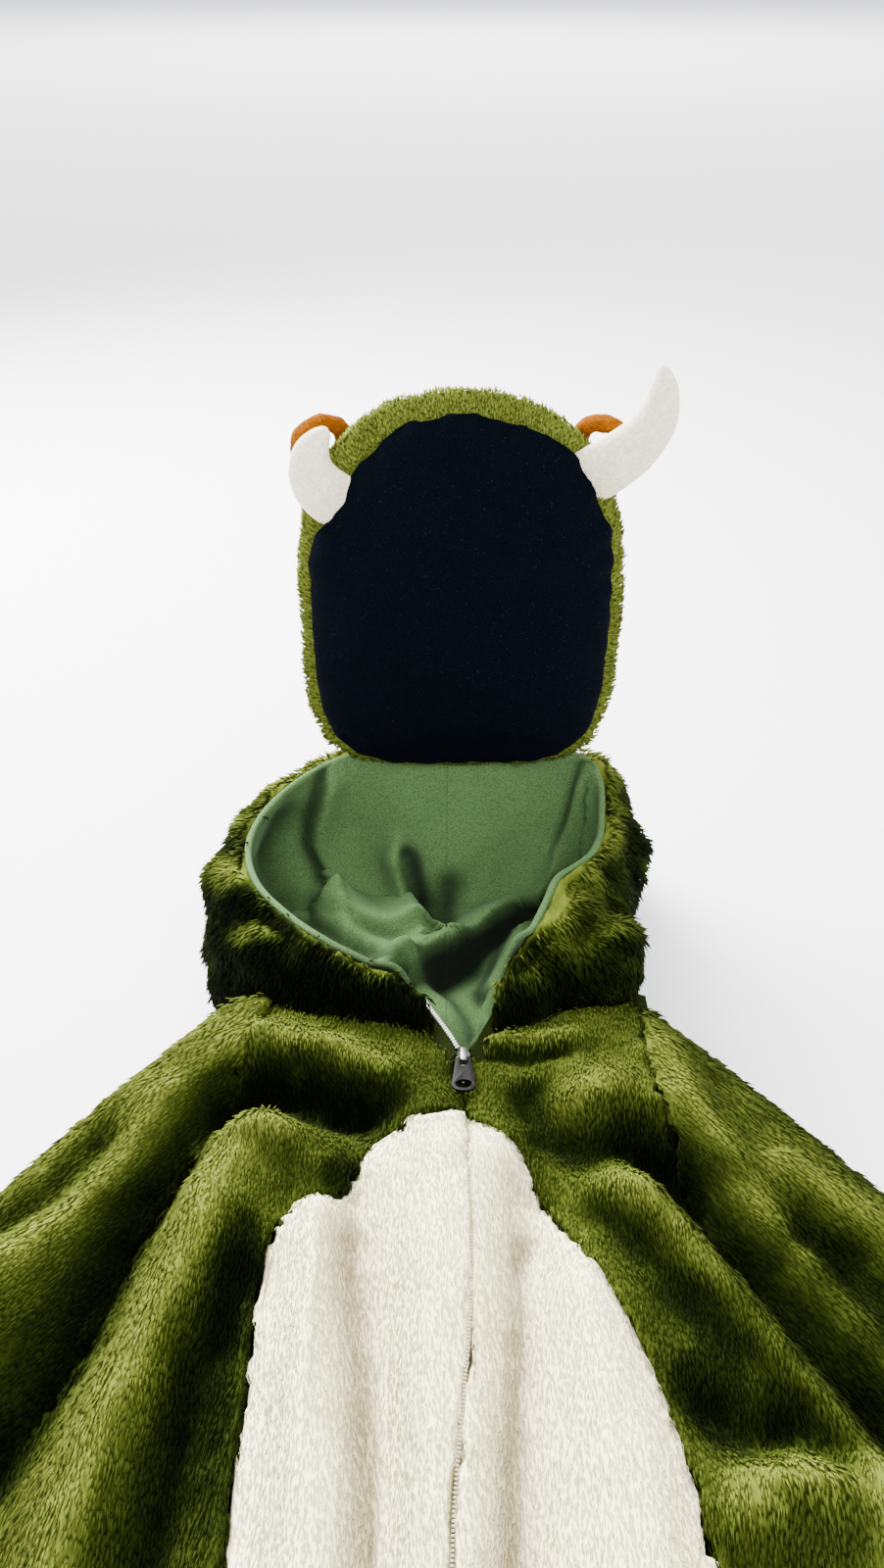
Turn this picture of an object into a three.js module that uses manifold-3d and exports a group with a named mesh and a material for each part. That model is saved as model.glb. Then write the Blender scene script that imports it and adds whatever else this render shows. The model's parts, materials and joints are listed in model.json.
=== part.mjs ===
// A toddler's crocodile onesie in long-pile plush, laid on its back on a table.
// The hood lies open behind the neck, and its padded snout stands up from the far rim.
// Millimetres. +X is to the right as seen from the feet, +Y runs from the feet to the hood, +Z is up.
// Plan positions are counted from the zip slider at the neck, and the table is z = 0.
import * as THREE from "three";
import { mergeVertices } from "three/addons/utils/BufferGeometryUtils.js";
import Module from "manifold-3d";

const wasm = await Module();
wasm.setup();

// Cloth
const PLUSH = 6; // backing and lying pile together
const LINING = 2;
const SEAM = 0.3; // the space left between two pieces at a seam
const SIDE_SEAM_HEIGHT = 14; // where a front meets its back at the edge of a laid tube
const UNDER_EDGE = 18; // how far in from that edge the underside starts to lift off the table

// Garment
const NECK_Y = 50;
const CROTCH_Y = -430;
const ZIP_SLOT = 4.2;
const ZIP_END_Y = -398;
const HOOD_CENTRE = { x: -8, y: 135 };
const SNOUT = { baseY: 201, z: 215, lean: 4, faceDepth: 20, backDepth: 34 };

// The torso as laid: half widths to each side of the zip, and the height of its front.
const TORSO = [
  { y: 78, left: 146, right: 142, height: 44 },
  { y: 40, left: 158, right: 152, height: 53 },
  { y: 0, left: 170, right: 164, height: 57 },
  { y: -60, left: 186, right: 182, height: 60 },
  { y: -130, left: 191, right: 190, height: 61 },
  { y: -210, left: 190, right: 190, height: 61 },
  { y: -300, left: 185, right: 185, height: 57 },
  { y: -380, left: 184, right: 184, height: 50 },
  { y: CROTCH_Y, left: 187, right: 187, height: 44 },
];

// The raglan seams from the side of the neck to the underarm, and on down the free side.
const RAGLAN_LEFT = [
  { x: -104, y: 90 },
  { x: -105, y: 55 },
  { x: -122, y: -27 },
  { x: -151, y: -83 },
  { x: -166, y: -137 },
  { x: -192.5, y: -184 },
  { x: -192.5, y: -500 },
];
const RAGLAN_RIGHT = [
  { x: 98, y: 90 },
  { x: 98, y: 50 },
  { x: 94, y: -10 },
  { x: 106, y: -68 },
  { x: 122, y: -104 },
  { x: 146, y: -148 },
  { x: 192, y: -190 },
  { x: 192, y: -500 },
];

// The neck edge of the fronts, with the open top of the zip as a V.
const NECKLINE = [
  { x: -260, y: 62 },
  { x: -104, y: 57 },
  { x: -62, y: 45 },
  { x: -18, y: 30 },
  { x: -4.7, y: 10 },
  { x: -4.7, y: -1 },
  { x: 4.7, y: -1 },
  { x: 4.7, y: 8 },
  { x: 14, y: 22 },
  { x: 60, y: 47 },
  { x: 98, y: 55 },
  { x: 260, y: 62 },
];

// The cream belly, half of it to each side of the zip.
const BELLY = [
  { x: 0, y: -34 },
  { x: -30, y: -37 },
  { x: -46, y: -50 },
  { x: -55, y: -74 },
  { x: -76, y: -86 },
  { x: -89, y: -106 },
  { x: -90, y: -160 },
  { x: -88, y: -220 },
  { x: -92, y: -290 },
  { x: -80, y: -350 },
  { x: -46, y: -390 },
  { x: 0, y: -404 },
  { x: 46, y: -390 },
  { x: 80, y: -350 },
  { x: 92, y: -290 },
  { x: 85, y: -228 },
  { x: 74, y: -170 },
  { x: 54, y: -115 },
  { x: 36, y: -78 },
  { x: 19, y: -44 },
];

// How far the zip wanders sideways over the folds.
const ZIP_LINE = [
  { y: 30, x: 0 },
  { y: -40, x: 0 },
  { y: -94, x: 2 },
  { y: -161, x: -1 },
  { y: -231, x: -8 },
  { y: -320, x: -4 },
  { y: -440, x: 0 },
];

// Folds seen from above: a ridge has a height above zero and a trough below it.
const FOLDS = [
  { name: "left chest ridge", line: [[-108, 20], [-67, 4], [-38, -14], [-22, -33]], width: 14, height: 12 },
  { name: "bed of the pull tab", line: [[-2, -8], [-2, -24]], width: 8, height: -4.5 },
  { name: "left chest hollow", line: [[-100, -5], [-68, -21], [-42, -32]], width: 16, height: -13 },
  { name: "left side ridge", line: [[-114, -38], [-96, -42], [-78, -54], [-62, -68]], width: 14, height: 11 },
  { name: "left lobe", line: [[-116, -72], [-121, -106], [-129, -150], [-142, -195], [-152, -250]], width: 19, height: 12 },
  { name: "left lobe trough", line: [[-106, -150], [-110, -196], [-116, -240], [-116, -290]], width: 15, height: -13 },
  { name: "left belly edge ridge", line: [[-98, -98], [-99, -160], [-98, -220], [-100, -290]], width: 12, height: 8 },
  { name: "left raglan trough", line: [[-122, -27], [-151, -83], [-166, -137], [-188, -184]], width: 17, height: -15 },
  { name: "belly edge trough", line: [[-84, -112], [-83, -165], [-82, -225]], width: 13, height: -7 },
  { name: "belly left bulge", line: [[-64, -96], [-67, -141], [-62, -183], [-54, -250]], width: 16, height: 9 },
  { name: "placket left valley", line: [[-50, -76], [-41, -134], [-33, -200], [-28, -270]], width: 14, height: -12 },
  { name: "placket", line: [[-2, -60], [-4, -150], [-9, -230], [-6, -310]], width: 21, height: 8 },
  { name: "placket right valley", line: [[27, -78], [25, -130], [21, -190], [18, -270]], width: 13, height: -13 },
  { name: "belly right bulge", line: [[46, -128], [54, -165], [60, -210], [60, -270]], width: 19, height: 7 },
  { name: "right chest dome", line: [[58, -27], [75, -20], [88, -34]], width: 18, height: 12 },
  { name: "right chest crescent", line: [[40, -22], [46, -40], [62, -52]], width: 14, height: -9 },
  { name: "right raglan trough", line: [[84, -42], [104, -68], [121, -104], [145, -148], [176, -180]], width: 17, height: -18 },
  { name: "right side ridge", line: [[78, -80], [100, -108], [123, -137], [140, -162], [158, -200], [162, -270]], width: 15, height: 12 },
  { name: "right shoulder ridge", line: [[104, 10], [112, -32], [128, -72], [150, -104]], width: 13, height: 9 },
  { name: "right hip crescent", line: [[98, -172], [112, -186], [128, -178], [143, -186]], width: 14, height: -9 },
  { name: "right hip bump", line: [[104, -210], [119, -199], [131, -206]], width: 13, height: 9 },
  { name: "right sleeve tuck", line: [[152, -92], [172, -104], [190, -132]], width: 16, height: -11 },
  { name: "left sleeve tuck", line: [[-178, -40], [-196, -70], [-222, -84]], width: 16, height: -9 },
  { name: "left elbow ridge", line: [[-205, -118], [-232, -128], [-262, -118]], width: 14, height: 9 },
  { name: "left cuff trough", line: [[-252, -190], [-282, -186], [-306, -160]], width: 13, height: -10 },
  { name: "right elbow trough", line: [[206, -150], [236, -136], [262, -116]], width: 13, height: -10 },
  { name: "right cuff ridge", line: [[246, -200], [276, -194], [300, -170]], width: 14, height: 8 },
  { name: "left hip trough", line: [[-150, -300], [-110, -330], [-84, -352]], width: 14, height: -9 },
  { name: "right hip trough", line: [[150, -310], [118, -330], [96, -372]], width: 14, height: -9 },
  { name: "crotch hollow", line: [[0, -408], [0, -470]], width: 30, height: -25 },
  { name: "left knee ridge", line: [[-160, -552], [-116, -560], [-76, -548]], width: 17, height: 8 },
  { name: "left shin trough", line: [[-158, -606], [-122, -622], [-84, -612]], width: 15, height: -8 },
  { name: "right knee trough", line: [[160, -540], [118, -556], [74, -548]], width: 15, height: -8 },
  { name: "right shin ridge", line: [[162, -612], [124, -606], [86, -620]], width: 16, height: 7 },
];
const FOLD_FADE = 10; // power that takes folds out at the edge of a laid tube

// Sleeves and legs as laid tubes: how far along, half width and height.
const SLEEVE = [
  { along: -75, half: 66, height: 52 },
  { along: 0, half: 64, height: 56 },
  { along: 80, half: 62, height: 55 },
  { along: 160, half: 57, height: 50 },
  { along: 240, half: 49, height: 44 },
  { along: 318, half: 41, height: 36 },
];
const SLEEVE_RINGS = 11;
const SLEEVE_DIRECTION = { x: 0.62, y: -0.785 };
const SLEEVES = {
  left: { side: -1, top: { x: 111, y: -6 }, fullness: 1 },
  right: { side: 1, top: { x: 108, y: -28 }, fullness: 0.88 },
};
const LEG = [
  { along: -12, half: 92, height: 43 },
  { along: 80, half: 88, height: 44 },
  { along: 180, half: 76, height: 41 },
  { along: 275, half: 64, height: 34 },
];
const LEG_RINGS = 7;
const LEG_TOP = { x: 94.5, y: CROTCH_Y };
const LEG_DIRECTION = { x: 0.1, y: -0.995 };

// The hood round its centre: rim, bulge of the plush outside, foot on the table, and the lining's sag and floor.
// Angles run anticlockwise from +X as seen from above, in degrees.
const HOOD = [
  { angle: 0, rim: 86, rimZ: 91, bulge: 107, bulgeZ: 40, foot: 94, sag: 92, sagZ: 24, floor: 66 },
  { angle: 20, rim: 101, rimZ: 92, bulge: 127, bulgeZ: 42, foot: 108, sag: 104, sagZ: 22, floor: 72 },
  { angle: 41, rim: 118, rimZ: 104, bulge: 147, bulgeZ: 52, foot: 126, sag: 104, sagZ: 34, floor: 62 },
  { angle: 62, rim: 93, rimZ: 100, bulge: 138, bulgeZ: 60, foot: 120, sag: 66, sagZ: 50, floor: 42 },
  { angle: 84, rim: 79, rimZ: 98, bulge: 124, bulgeZ: 60, foot: 108, sag: 50, sagZ: 50, floor: 32 },
  { angle: 108, rim: 86, rimZ: 100, bulge: 130, bulgeZ: 60, foot: 114, sag: 58, sagZ: 50, floor: 38 },
  { angle: 131, rim: 105, rimZ: 103, bulge: 141, bulgeZ: 52, foot: 124, sag: 100, sagZ: 34, floor: 62 },
  { angle: 150, rim: 119, rimZ: 91, bulge: 146, bulgeZ: 40, foot: 128, sag: 138, sagZ: 20, floor: 90 },
  { angle: 170, rim: 121, rimZ: 86, bulge: 151, bulgeZ: 32, foot: 134, sag: 142, sagZ: 14, floor: 94 },
  { angle: 190, rim: 113, rimZ: 85, bulge: 149, bulgeZ: 28, foot: 134, sag: 134, sagZ: 14, floor: 90 },
  { angle: 207, rim: 103, rimZ: 85, bulge: 139, bulgeZ: 30, foot: 128, sag: 116, sagZ: 20, floor: 82 },
  { angle: 226, rim: 97, rimZ: 85, bulge: 121, bulgeZ: 54, foot: 112, sag: 96, sagZ: 30, floor: 82 },
  { angle: 243, rim: 95, rimZ: 83, bulge: 109, bulgeZ: 62, foot: 98, sag: 92, sagZ: 36, floor: 84 },
  { angle: 257, rim: 96, rimZ: 80, bulge: 105, bulgeZ: 60, foot: 98, sag: 94, sagZ: 36, floor: 86 },
  { angle: 268, rim: 106, rimZ: 66, bulge: 112, bulgeZ: 54, foot: 104, sag: 102, sagZ: 30, floor: 90 },
  { angle: 279, rim: 108, rimZ: 66, bulge: 116, bulgeZ: 54, foot: 104, sag: 102, sagZ: 30, floor: 90 },
  { angle: 289, rim: 91, rimZ: 80, bulge: 105, bulgeZ: 60, foot: 96, sag: 88, sagZ: 34, floor: 80 },
  { angle: 308, rim: 77, rimZ: 86, bulge: 105, bulgeZ: 60, foot: 94, sag: 82, sagZ: 30, floor: 68 },
  { angle: 325, rim: 69, rimZ: 88, bulge: 133, bulgeZ: 34, foot: 120, sag: 80, sagZ: 26, floor: 60 },
  { angle: 341, rim: 68, rimZ: 90, bulge: 116, bulgeZ: 40, foot: 102, sag: 80, sagZ: 24, floor: 58 },
];
const HOOD_AROUND = 32;
const LINING_AROUND = 42;
const LINING_FLOOR_Z = 14;
const HOOD_FOLDS = [
  { name: "left outer tuck", line: [[-150, 190], [-146, 150], [-128, 108]], width: 13, height: -5 },
  { name: "right upper lump", line: [[112, 196], [118, 172], [104, 148]], width: 14, height: 6 },
  { name: "right pinch", line: [[66, 136], [92, 128], [108, 124]], width: 9, height: -9 },
  { name: "right lower lump", line: [[84, 100], [100, 92], [104, 74]], width: 13, height: 5 },
];
// The lining's folds are lines in space, because its walls are steep.
const LINING_FOLDS = [
  { name: "left curtain edge", line: [[-84, 207, 83], [-95, 206, 58], [-99, 203, 46], [-90, 197, 24], [-80, 184, 12]], width: 11, height: 12 },
  { name: "left pocket", line: [[-107, 201, 61], [-117, 192, 47], [-107, 190, 24]], width: 14, height: -5 },
  { name: "right curtain edge", line: [[76, 210, 103], [72, 204, 77], [63, 195, 42]], width: 10, height: 8 },
  { name: "curtain hem", line: [[-76, 186, 24], [-51, 168, 26], [-30, 162, 22], [-20, 158, 24]], width: 11, height: 10 },
  { name: "pleat", line: [[-26, 190, 45], [-25, 182, 27], [-24, 171, 14]], width: 11, height: 9 },
  { name: "pleat hollow", line: [[-2, 182, 41], [-2, 174, 25]], width: 10, height: -8 },
  { name: "floor ridge", line: [[-38, 134, 14], [-22, 145, 18], [3, 162, 20], [33, 180, 26], [59, 190, 38]], width: 12, height: 18 },
  { name: "floor hollow", line: [[-12, 138, 14], [6, 126, 14]], width: 12, height: -5 },
  { name: "right floor ridge", line: [[20, 160, 14], [16, 122, 14]], width: 11, height: 9 },
  { name: "left floor tuck", line: [[-75, 172, 14], [-66, 154, 14], [-43, 140, 14]], width: 11, height: 8 },
  { name: "back neck ridge", line: [[-10, 122, 14], [0, 95, 14], [3, 60, 14]], width: 11, height: 5 },
];

const MATERIALS = {
  plush: { color: 0x4c5f12, roughness: 0.95 },
  cream: { color: 0xe9e2d0, roughness: 0.95 },
  lining: { color: 0x3f7445, roughness: 0.9 },
  face: { color: 0x0a1220, roughness: 0.95 },
  tooth: { color: 0xeeebe2, roughness: 0.9 },
  nostril: { color: 0xb0671d, roughness: 0.9 },
  tape: { color: 0xe6e2d4, roughness: 0.6 },
  metal: { color: 0x6d6c6a, roughness: 0.35, metalness: 0.9 },
};

// A smooth curve through one column of a table, with level ends or, for a table of angles, round and round.
function column(rows, by, name, turn = 0) {
  const sorted = [...rows].sort((a, b) => a[by] - b[by]);
  const nodes = turn
    ? [-2, -1].map((k) => ({ at: sorted.at(k)[by] - turn, value: sorted.at(k)[name] }))
    : [];
  sorted.forEach((row) => nodes.push({ at: row[by], value: row[name] }));
  if (turn) sorted.slice(0, 2).forEach((row) => nodes.push({ at: row[by] + turn, value: row[name] }));
  const slope = (i) => {
    const before = nodes[Math.max(i - 1, 0)];
    const after = nodes[Math.min(i + 1, nodes.length - 1)];
    return (after.value - before.value) / (after.at - before.at);
  };
  return (position) => {
    const at = turn ? THREE.MathUtils.euclideanModulo(position, turn) : position;
    const last = nodes.length - 2;
    let i = nodes.findIndex((node, k) => k <= last && at < nodes[k + 1].at);
    if (i < 0) i = last;
    const span = nodes[i + 1].at - nodes[i].at;
    const t = THREE.MathUtils.clamp((at - nodes[i].at) / span, 0, 1);
    const bow = t * (1 - t);
    const blend = t * t * (3 - 2 * t);
    const bend = bow * ((1 - t) * slope(i) - t * slope(i + 1)) * span;
    return nodes[i].value * (1 - blend) + nodes[i + 1].value * blend + bend;
  };
}

// The distance from a point to a line of points, in plan or in space.
function distanceTo(point, line) {
  const away = (a, b) => a.map((value, i) => value - b[i]);
  const dot = (a, b) => a.reduce((sum, value, i) => sum + value * b[i], 0);
  let nearest = Infinity;
  for (let i = 0; i + 1 < line.length; i++) {
    const step = away(line[i + 1], line[i]);
    const reach = away(point, line[i]);
    const t = THREE.MathUtils.clamp(dot(reach, step) / dot(step, step), 0, 1);
    nearest = Math.min(nearest, Math.hypot(...reach.map((value, k) => value - t * step[k])));
  }
  return nearest;
}

function foldHeight(point, folds) {
  return folds.reduce((sum, fold) => {
    const share = distanceTo(point, fold.line) / fold.width;
    return share > 3 ? sum : sum + fold.height * Math.exp(-share * share);
  }, 0);
}

// A solid from points and triangles. Points that coincide are made one, and the faces turned outwards.
function solid(points, triangles) {
  const geometry = new THREE.BufferGeometry()
    .setAttribute("position", new THREE.Float32BufferAttribute(points.flat(), 3))
    .setIndex(triangles.flat());
  const merged = mergeVertices(geometry, 1e-3);
  const index = merged.index.array;
  const kept = [];
  for (let i = 0; i < index.length; i += 3) {
    const [a, b, c] = [index[i], index[i + 1], index[i + 2]];
    if (a !== b && b !== c && c !== a) kept.push(a, b, c);
  }
  const make = (triVerts) =>
    new wasm.Manifold(
      new wasm.Mesh({
        numProp: 3,
        vertProperties: merged.attributes.position.array,
        triVerts: new Uint32Array(triVerts),
      }),
    );
  const made = make(kept);
  if (made.volume() > 0) return made;
  const turned = [];
  for (let i = 0; i < kept.length; i += 3) turned.push(kept[i], kept[i + 2], kept[i + 1]);
  return make(turned);
}

// A closed wall between two grids of points. Columns may run all the way round.
function wall(outer, inner, round = false) {
  const rows = outer.length;
  const columns = outer[0].length;
  const points = [...outer.flat(), ...inner.flat()];
  const far = rows * columns;
  const at = (i, j) => i * columns + (j % columns);
  const triangles = [];
  const quad = (a, b, c, d) => triangles.push([a, b, c], [a, c, d]);
  const steps = round ? columns : columns - 1;
  for (let i = 0; i + 1 < rows; i++)
    for (let j = 0; j < steps; j++) {
      quad(at(i, j), at(i, j + 1), at(i + 1, j + 1), at(i + 1, j));
      quad(far + at(i, j), far + at(i + 1, j), far + at(i + 1, j + 1), far + at(i, j + 1));
    }
  for (let j = 0; j < steps; j++) {
    quad(at(0, j), far + at(0, j), far + at(0, j + 1), at(0, j + 1));
    quad(at(rows - 1, j), at(rows - 1, j + 1), far + at(rows - 1, j + 1), far + at(rows - 1, j));
  }
  if (!round)
    for (let i = 0; i + 1 < rows; i++) {
      quad(at(i, 0), at(i + 1, 0), far + at(i + 1, 0), far + at(i, 0));
      const end = columns - 1;
      quad(at(i, end), far + at(i, end), far + at(i + 1, end), at(i + 1, end));
    }
  return solid(points, triangles);
}

function fromGeometry(geometry) {
  const position = geometry.getAttribute("position");
  const points = [];
  for (let i = 0; i < position.count; i++) points.push([position.getX(i), position.getY(i), position.getZ(i)]);
  const index = geometry.index ? [...geometry.index.array] : points.map((_, i) => i);
  const triangles = [];
  for (let i = 0; i < index.length; i += 3) triangles.push(index.slice(i, i + 3));
  return solid(points, triangles);
}

// An upright prism over an outline in plan.
function prism(outline, low, high) {
  const shape = new THREE.Shape(outline.map((p) => new THREE.Vector2(p.x, p.y)));
  const geometry = new THREE.ExtrudeGeometry(shape, { depth: high - low, bevelEnabled: false });
  return fromGeometry(geometry.translate(0, 0, low));
}

function block(low, high) {
  const size = high.map((value, i) => value - low[i]);
  const geometry = new THREE.BoxGeometry(...size);
  return fromGeometry(geometry.translate(...low.map((value, i) => value + size[i] / 2)));
}

// Where the columns of a laid tube stand across its width, from -1 to 1 and closer at the edges.
function across(step, steps) {
  const share = (2 * step) / steps - 1;
  return 0.6 * share + 0.4 * Math.sin((share * Math.PI) / 2);
}

function range(from, to, steps) {
  return Array.from({ length: steps + 1 }, (_, i) => from + ((to - from) * i) / steps);
}

// The upper side of a laid tube: a flat crown that rolls down to the side seams.
function crown(share, height, inset) {
  const rise = height - SIDE_SEAM_HEIGHT - inset;
  return SIDE_SEAM_HEIGHT + rise * Math.sqrt(1 - share ** 4);
}

// The underside of a laid tube as steps of distance in from its edge and height above the table.
function underEdge(step, steps, inset) {
  const turn = (step / steps) * (Math.PI / 2);
  const top = SIDE_SEAM_HEIGHT - SEAM;
  return {
    in: UNDER_EDGE - (UNDER_EDGE - inset) * Math.sin(turn),
    z: inset + (top - inset) * (1 - Math.cos(turn)),
  };
}

const zipX = column(ZIP_LINE, "y", "x");
const torso = {
  left: column(TORSO, "y", "left"),
  right: column(TORSO, "y", "right"),
  height: column(TORSO, "y", "height"),
};

function torsoFront(share, y, inset) {
  const half = share < 0 ? torso.left(y) : torso.right(y);
  const x = share * (half - inset);
  const fade = 1 - share ** FOLD_FADE;
  return [x, y, crown(share, torso.height(y), inset) + fade * foldHeight([x, y], FOLDS)];
}

const TORSO_TOP = TORSO[0].y;
const TORSO_ROWS = 29;
const TORSO_COLUMNS = 28;
const torsoYs = range(TORSO_TOP, CROTCH_Y, TORSO_ROWS);

function torsoGrid(inset, lift = 0) {
  return torsoYs.map((y) =>
    range(0, TORSO_COLUMNS, TORSO_COLUMNS).map((step) => {
      const [x, py, z] = torsoFront(across(step, TORSO_COLUMNS), y, inset);
      return [x, py, z + lift];
    }),
  );
}

// The whole front before it is cut into its pieces, and all the room under its outside.
const frontBlank = wall(torsoGrid(0), torsoGrid(PLUSH));
const underFront = wall(
  torsoGrid(-SEAM, SEAM),
  torsoGrid(-SEAM).map((row) => row.map(([x, y]) => [x, y, SIDE_SEAM_HEIGHT - 3])),
);

function backPanel() {
  const edgeSteps = 3;
  const middleSteps = 6;
  const section = (y, inset) => {
    const left = -torso.left(y);
    const right = torso.right(y);
    const rise = range(edgeSteps, 0, edgeSteps).map((step) => underEdge(step, edgeSteps, inset));
    const fall = [...rise].reverse();
    const flat = range(left + UNDER_EDGE, right - UNDER_EDGE, middleSteps).slice(1, -1);
    return [
      ...rise.map((p) => [left + p.in, y, p.z]),
      ...flat.map((x) => [x, y, inset]),
      ...fall.map((p) => [right - p.in, y, p.z]),
    ];
  };
  const ys = range(NECK_Y, CROTCH_Y, 12);
  return wall(ys.map((y) => section(y, 0)), ys.map((y) => section(y, PLUSH - 1)));
}

// A region of the plan to one side of a seam line, for cutting.
function beside(seamLine, shift, side) {
  const farAway = side * 600;
  const line = seamLine.map((p) => ({ x: p.x + shift, y: p.y }));
  const outline = [...line, { x: farAway, y: line.at(-1).y }, { x: farAway, y: line[0].y }];
  return prism(outline, -5, 200);
}

const bodySide = {
  left: beside(RAGLAN_LEFT, -SEAM / 2, 1),
  right: beside(RAGLAN_RIGHT, SEAM / 2, -1),
};
const sleeveSide = {
  left: beside(RAGLAN_LEFT, SEAM / 2, -1),
  right: beside(RAGLAN_RIGHT, -SEAM / 2, 1),
};

function aboveNeck(shift) {
  const line = NECKLINE.map((p) => ({ x: p.x, y: p.y + shift }));
  return prism([...line, { x: 260, y: 200 }, { x: -260, y: 200 }], -5, 200);
}

// Cuts between the zip's edges, the belly and the rest of the front.
function zipSlot(half) {
  const ys = range(12, CROTCH_Y - 5, 40);
  const left = ys.map((y) => ({ x: zipX(y) - half, y }));
  const right = ys.map((y) => ({ x: zipX(y) + half, y })).reverse();
  return prism([...left, ...right], -5, 200);
}

function bellyOutline(grow) {
  const curve = new THREE.CatmullRomCurve3(
    BELLY.map((p) => new THREE.Vector3(p.x, p.y, 0)),
    true,
    "centripetal",
  );
  const middle = { x: 0, y: -220 };
  return curve.getPoints(56).slice(0, -1).map((p) => {
    const reach = Math.hypot(p.x - middle.x, p.y - middle.y);
    const scale = (reach + grow) / reach;
    return { x: middle.x + (p.x - middle.x) * scale, y: middle.y + (p.y - middle.y) * scale };
  });
}

function leftOfZip() {
  const line = range(60, CROTCH_Y - 5, 40).map((y) => ({ x: zipX(y), y }));
  return prism([...line, { x: -600, y: CROTCH_Y - 5 }, { x: -600, y: 60 }], -5, 200);
}

const frontCloth = frontBlank
  .subtract(sleeveSide.left)
  .subtract(sleeveSide.right)
  .subtract(aboveNeck(0))
  .subtract(zipSlot(ZIP_SLOT / 2));
const toLeft = leftOfZip();
const bellyCut = prism(bellyOutline(0), -5, 200);
const aroundBelly = frontCloth.subtract(prism(bellyOutline(SEAM), -5, 200));
const bellyCloth = frontCloth.intersect(bellyCut);
const front = {
  left: aroundBelly.intersect(toLeft),
  right: aroundBelly.subtract(toLeft),
};
const belly = {
  left: bellyCloth.intersect(toLeft),
  right: bellyCloth.subtract(toLeft),
};
const back = backPanel().subtract(sleeveSide.left).subtract(sleeveSide.right);

// A laid tube along a straight line in plan: sleeve or leg.
function laidTube(table, rings, direction, { side, top, fullness }) {
  const width = column(table, "along", "half");
  const half = (along) => width(along) * fullness;
  const height = column(table, "along", "height");
  const crownSteps = 13;
  const edgeSteps = 3;
  const ring = (along, inset) => {
    const h = half(along);
    const place = (w, z) => {
      const x = side * (top.x + direction.x * along - direction.y * w);
      const y = top.y + direction.y * along + direction.x * w;
      return [x, y, z];
    };
    const upper = range(0, crownSteps, crownSteps).map((step) => {
      const share = across(step, crownSteps);
      const [x, y, z] = place(share * (h - inset), crown(share, height(along), inset));
      return [x, y, z + (1 - share ** FOLD_FADE) * foldHeight([x, y], FOLDS)];
    });
    const edge = range(edgeSteps, 0, edgeSteps).map((step) => underEdge(step, edgeSteps, inset));
    const thin = Math.min(inset, PLUSH - 1);
    const under = edge.map((p) => ({ in: p.in, z: p.z - inset + thin }));
    const right = under.slice(1).map((p) => place(h - p.in, p.z));
    const left = [...under.slice(1)].reverse().map((p) => place(p.in - h, p.z));
    return [...upper, ...right, place(0, thin), ...left];
  };
  const alongs = range(table[0].along, table.at(-1).along, rings);
  return wall(
    alongs.map((along) => ring(along, 0)),
    alongs.map((along) => ring(along, PLUSH)),
    true,
  );
}

const sleeveBlank = (place) =>
  laidTube(SLEEVE, SLEEVE_RINGS, SLEEVE_DIRECTION, place).subtract(aboveNeck(0));
const sleeve = {
  left: sleeveBlank(SLEEVES.left).subtract(bodySide.left),
  right: sleeveBlank(SLEEVES.right).subtract(bodySide.right),
};
const legBlank = (side) =>
  laidTube(LEG, LEG_RINGS, LEG_DIRECTION, { side, top: LEG_TOP, fullness: 1 });
const pastLegs = block([-400, CROTCH_Y - SEAM, -5], [400, 400, 200]);
const leg = { left: legBlank(-1).subtract(pastLegs), right: legBlank(1).subtract(pastLegs) };

// The snout is a pad with its own outline in its plane: square below where it joins the hood, rounder at the tip.
const SNOUT_AROUND = 32;
const SNOUT_RINGS = 7;
function snoutOutline(angle, halfWidth, tip, base) {
  const along = Math.sin(angle) < 0 ? base : tip;
  const power = Math.sin(angle) < 0 ? 5 : 2.35;
  const scale =
    (Math.abs(Math.cos(angle)) ** power + Math.abs(Math.sin(angle)) ** power) ** (-1 / power);
  return [halfWidth * Math.cos(angle) * scale, along * Math.sin(angle) * scale];
}

function snoutHalf({ halfWidth, tip, base, depth, towards }) {
  const place = (share, turn) => {
    const angle = (turn * 2 * Math.PI) / SNOUT_AROUND;
    const [x, up] = snoutOutline(angle, halfWidth, tip, base);
    return [x * share, up * share];
  };
  const shares = range(0, 1, SNOUT_RINGS).map((t) => Math.sin((t * Math.PI) / 2));
  const points = [];
  const ring = (share, rise) => {
    for (let turn = 0; turn < SNOUT_AROUND; turn++) {
      const [x, up] = place(share, turn);
      points.push([x, -towards * rise, up]);
    }
  };
  shares.forEach((share) => ring(share, SEAM / 2 + depth * Math.sqrt(1 - share ** 3)));
  ring(1, SEAM / 2);
  ring(0, SEAM / 2);
  const rings = points.length / SNOUT_AROUND;
  const triangles = [];
  for (let i = 0; i + 1 < rings; i++)
    for (let j = 0; j < SNOUT_AROUND; j++) {
      const next = (j + 1) % SNOUT_AROUND;
      const [a, b] = [i * SNOUT_AROUND + j, i * SNOUT_AROUND + next];
      const [c, d] = [b + SNOUT_AROUND, a + SNOUT_AROUND];
      triangles.push([a, b, c], [a, c, d]);
    }
  const leant = new THREE.Matrix4()
    .makeTranslation(0, SNOUT.baseY + SNOUT.faceDepth, SNOUT.z)
    .multiply(new THREE.Matrix4().makeRotationX(THREE.MathUtils.degToRad(-SNOUT.lean)));
  const placed = points.map((p) => new THREE.Vector3(...p).applyMatrix4(leant).toArray());
  return solid(placed, triangles);
}

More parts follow.
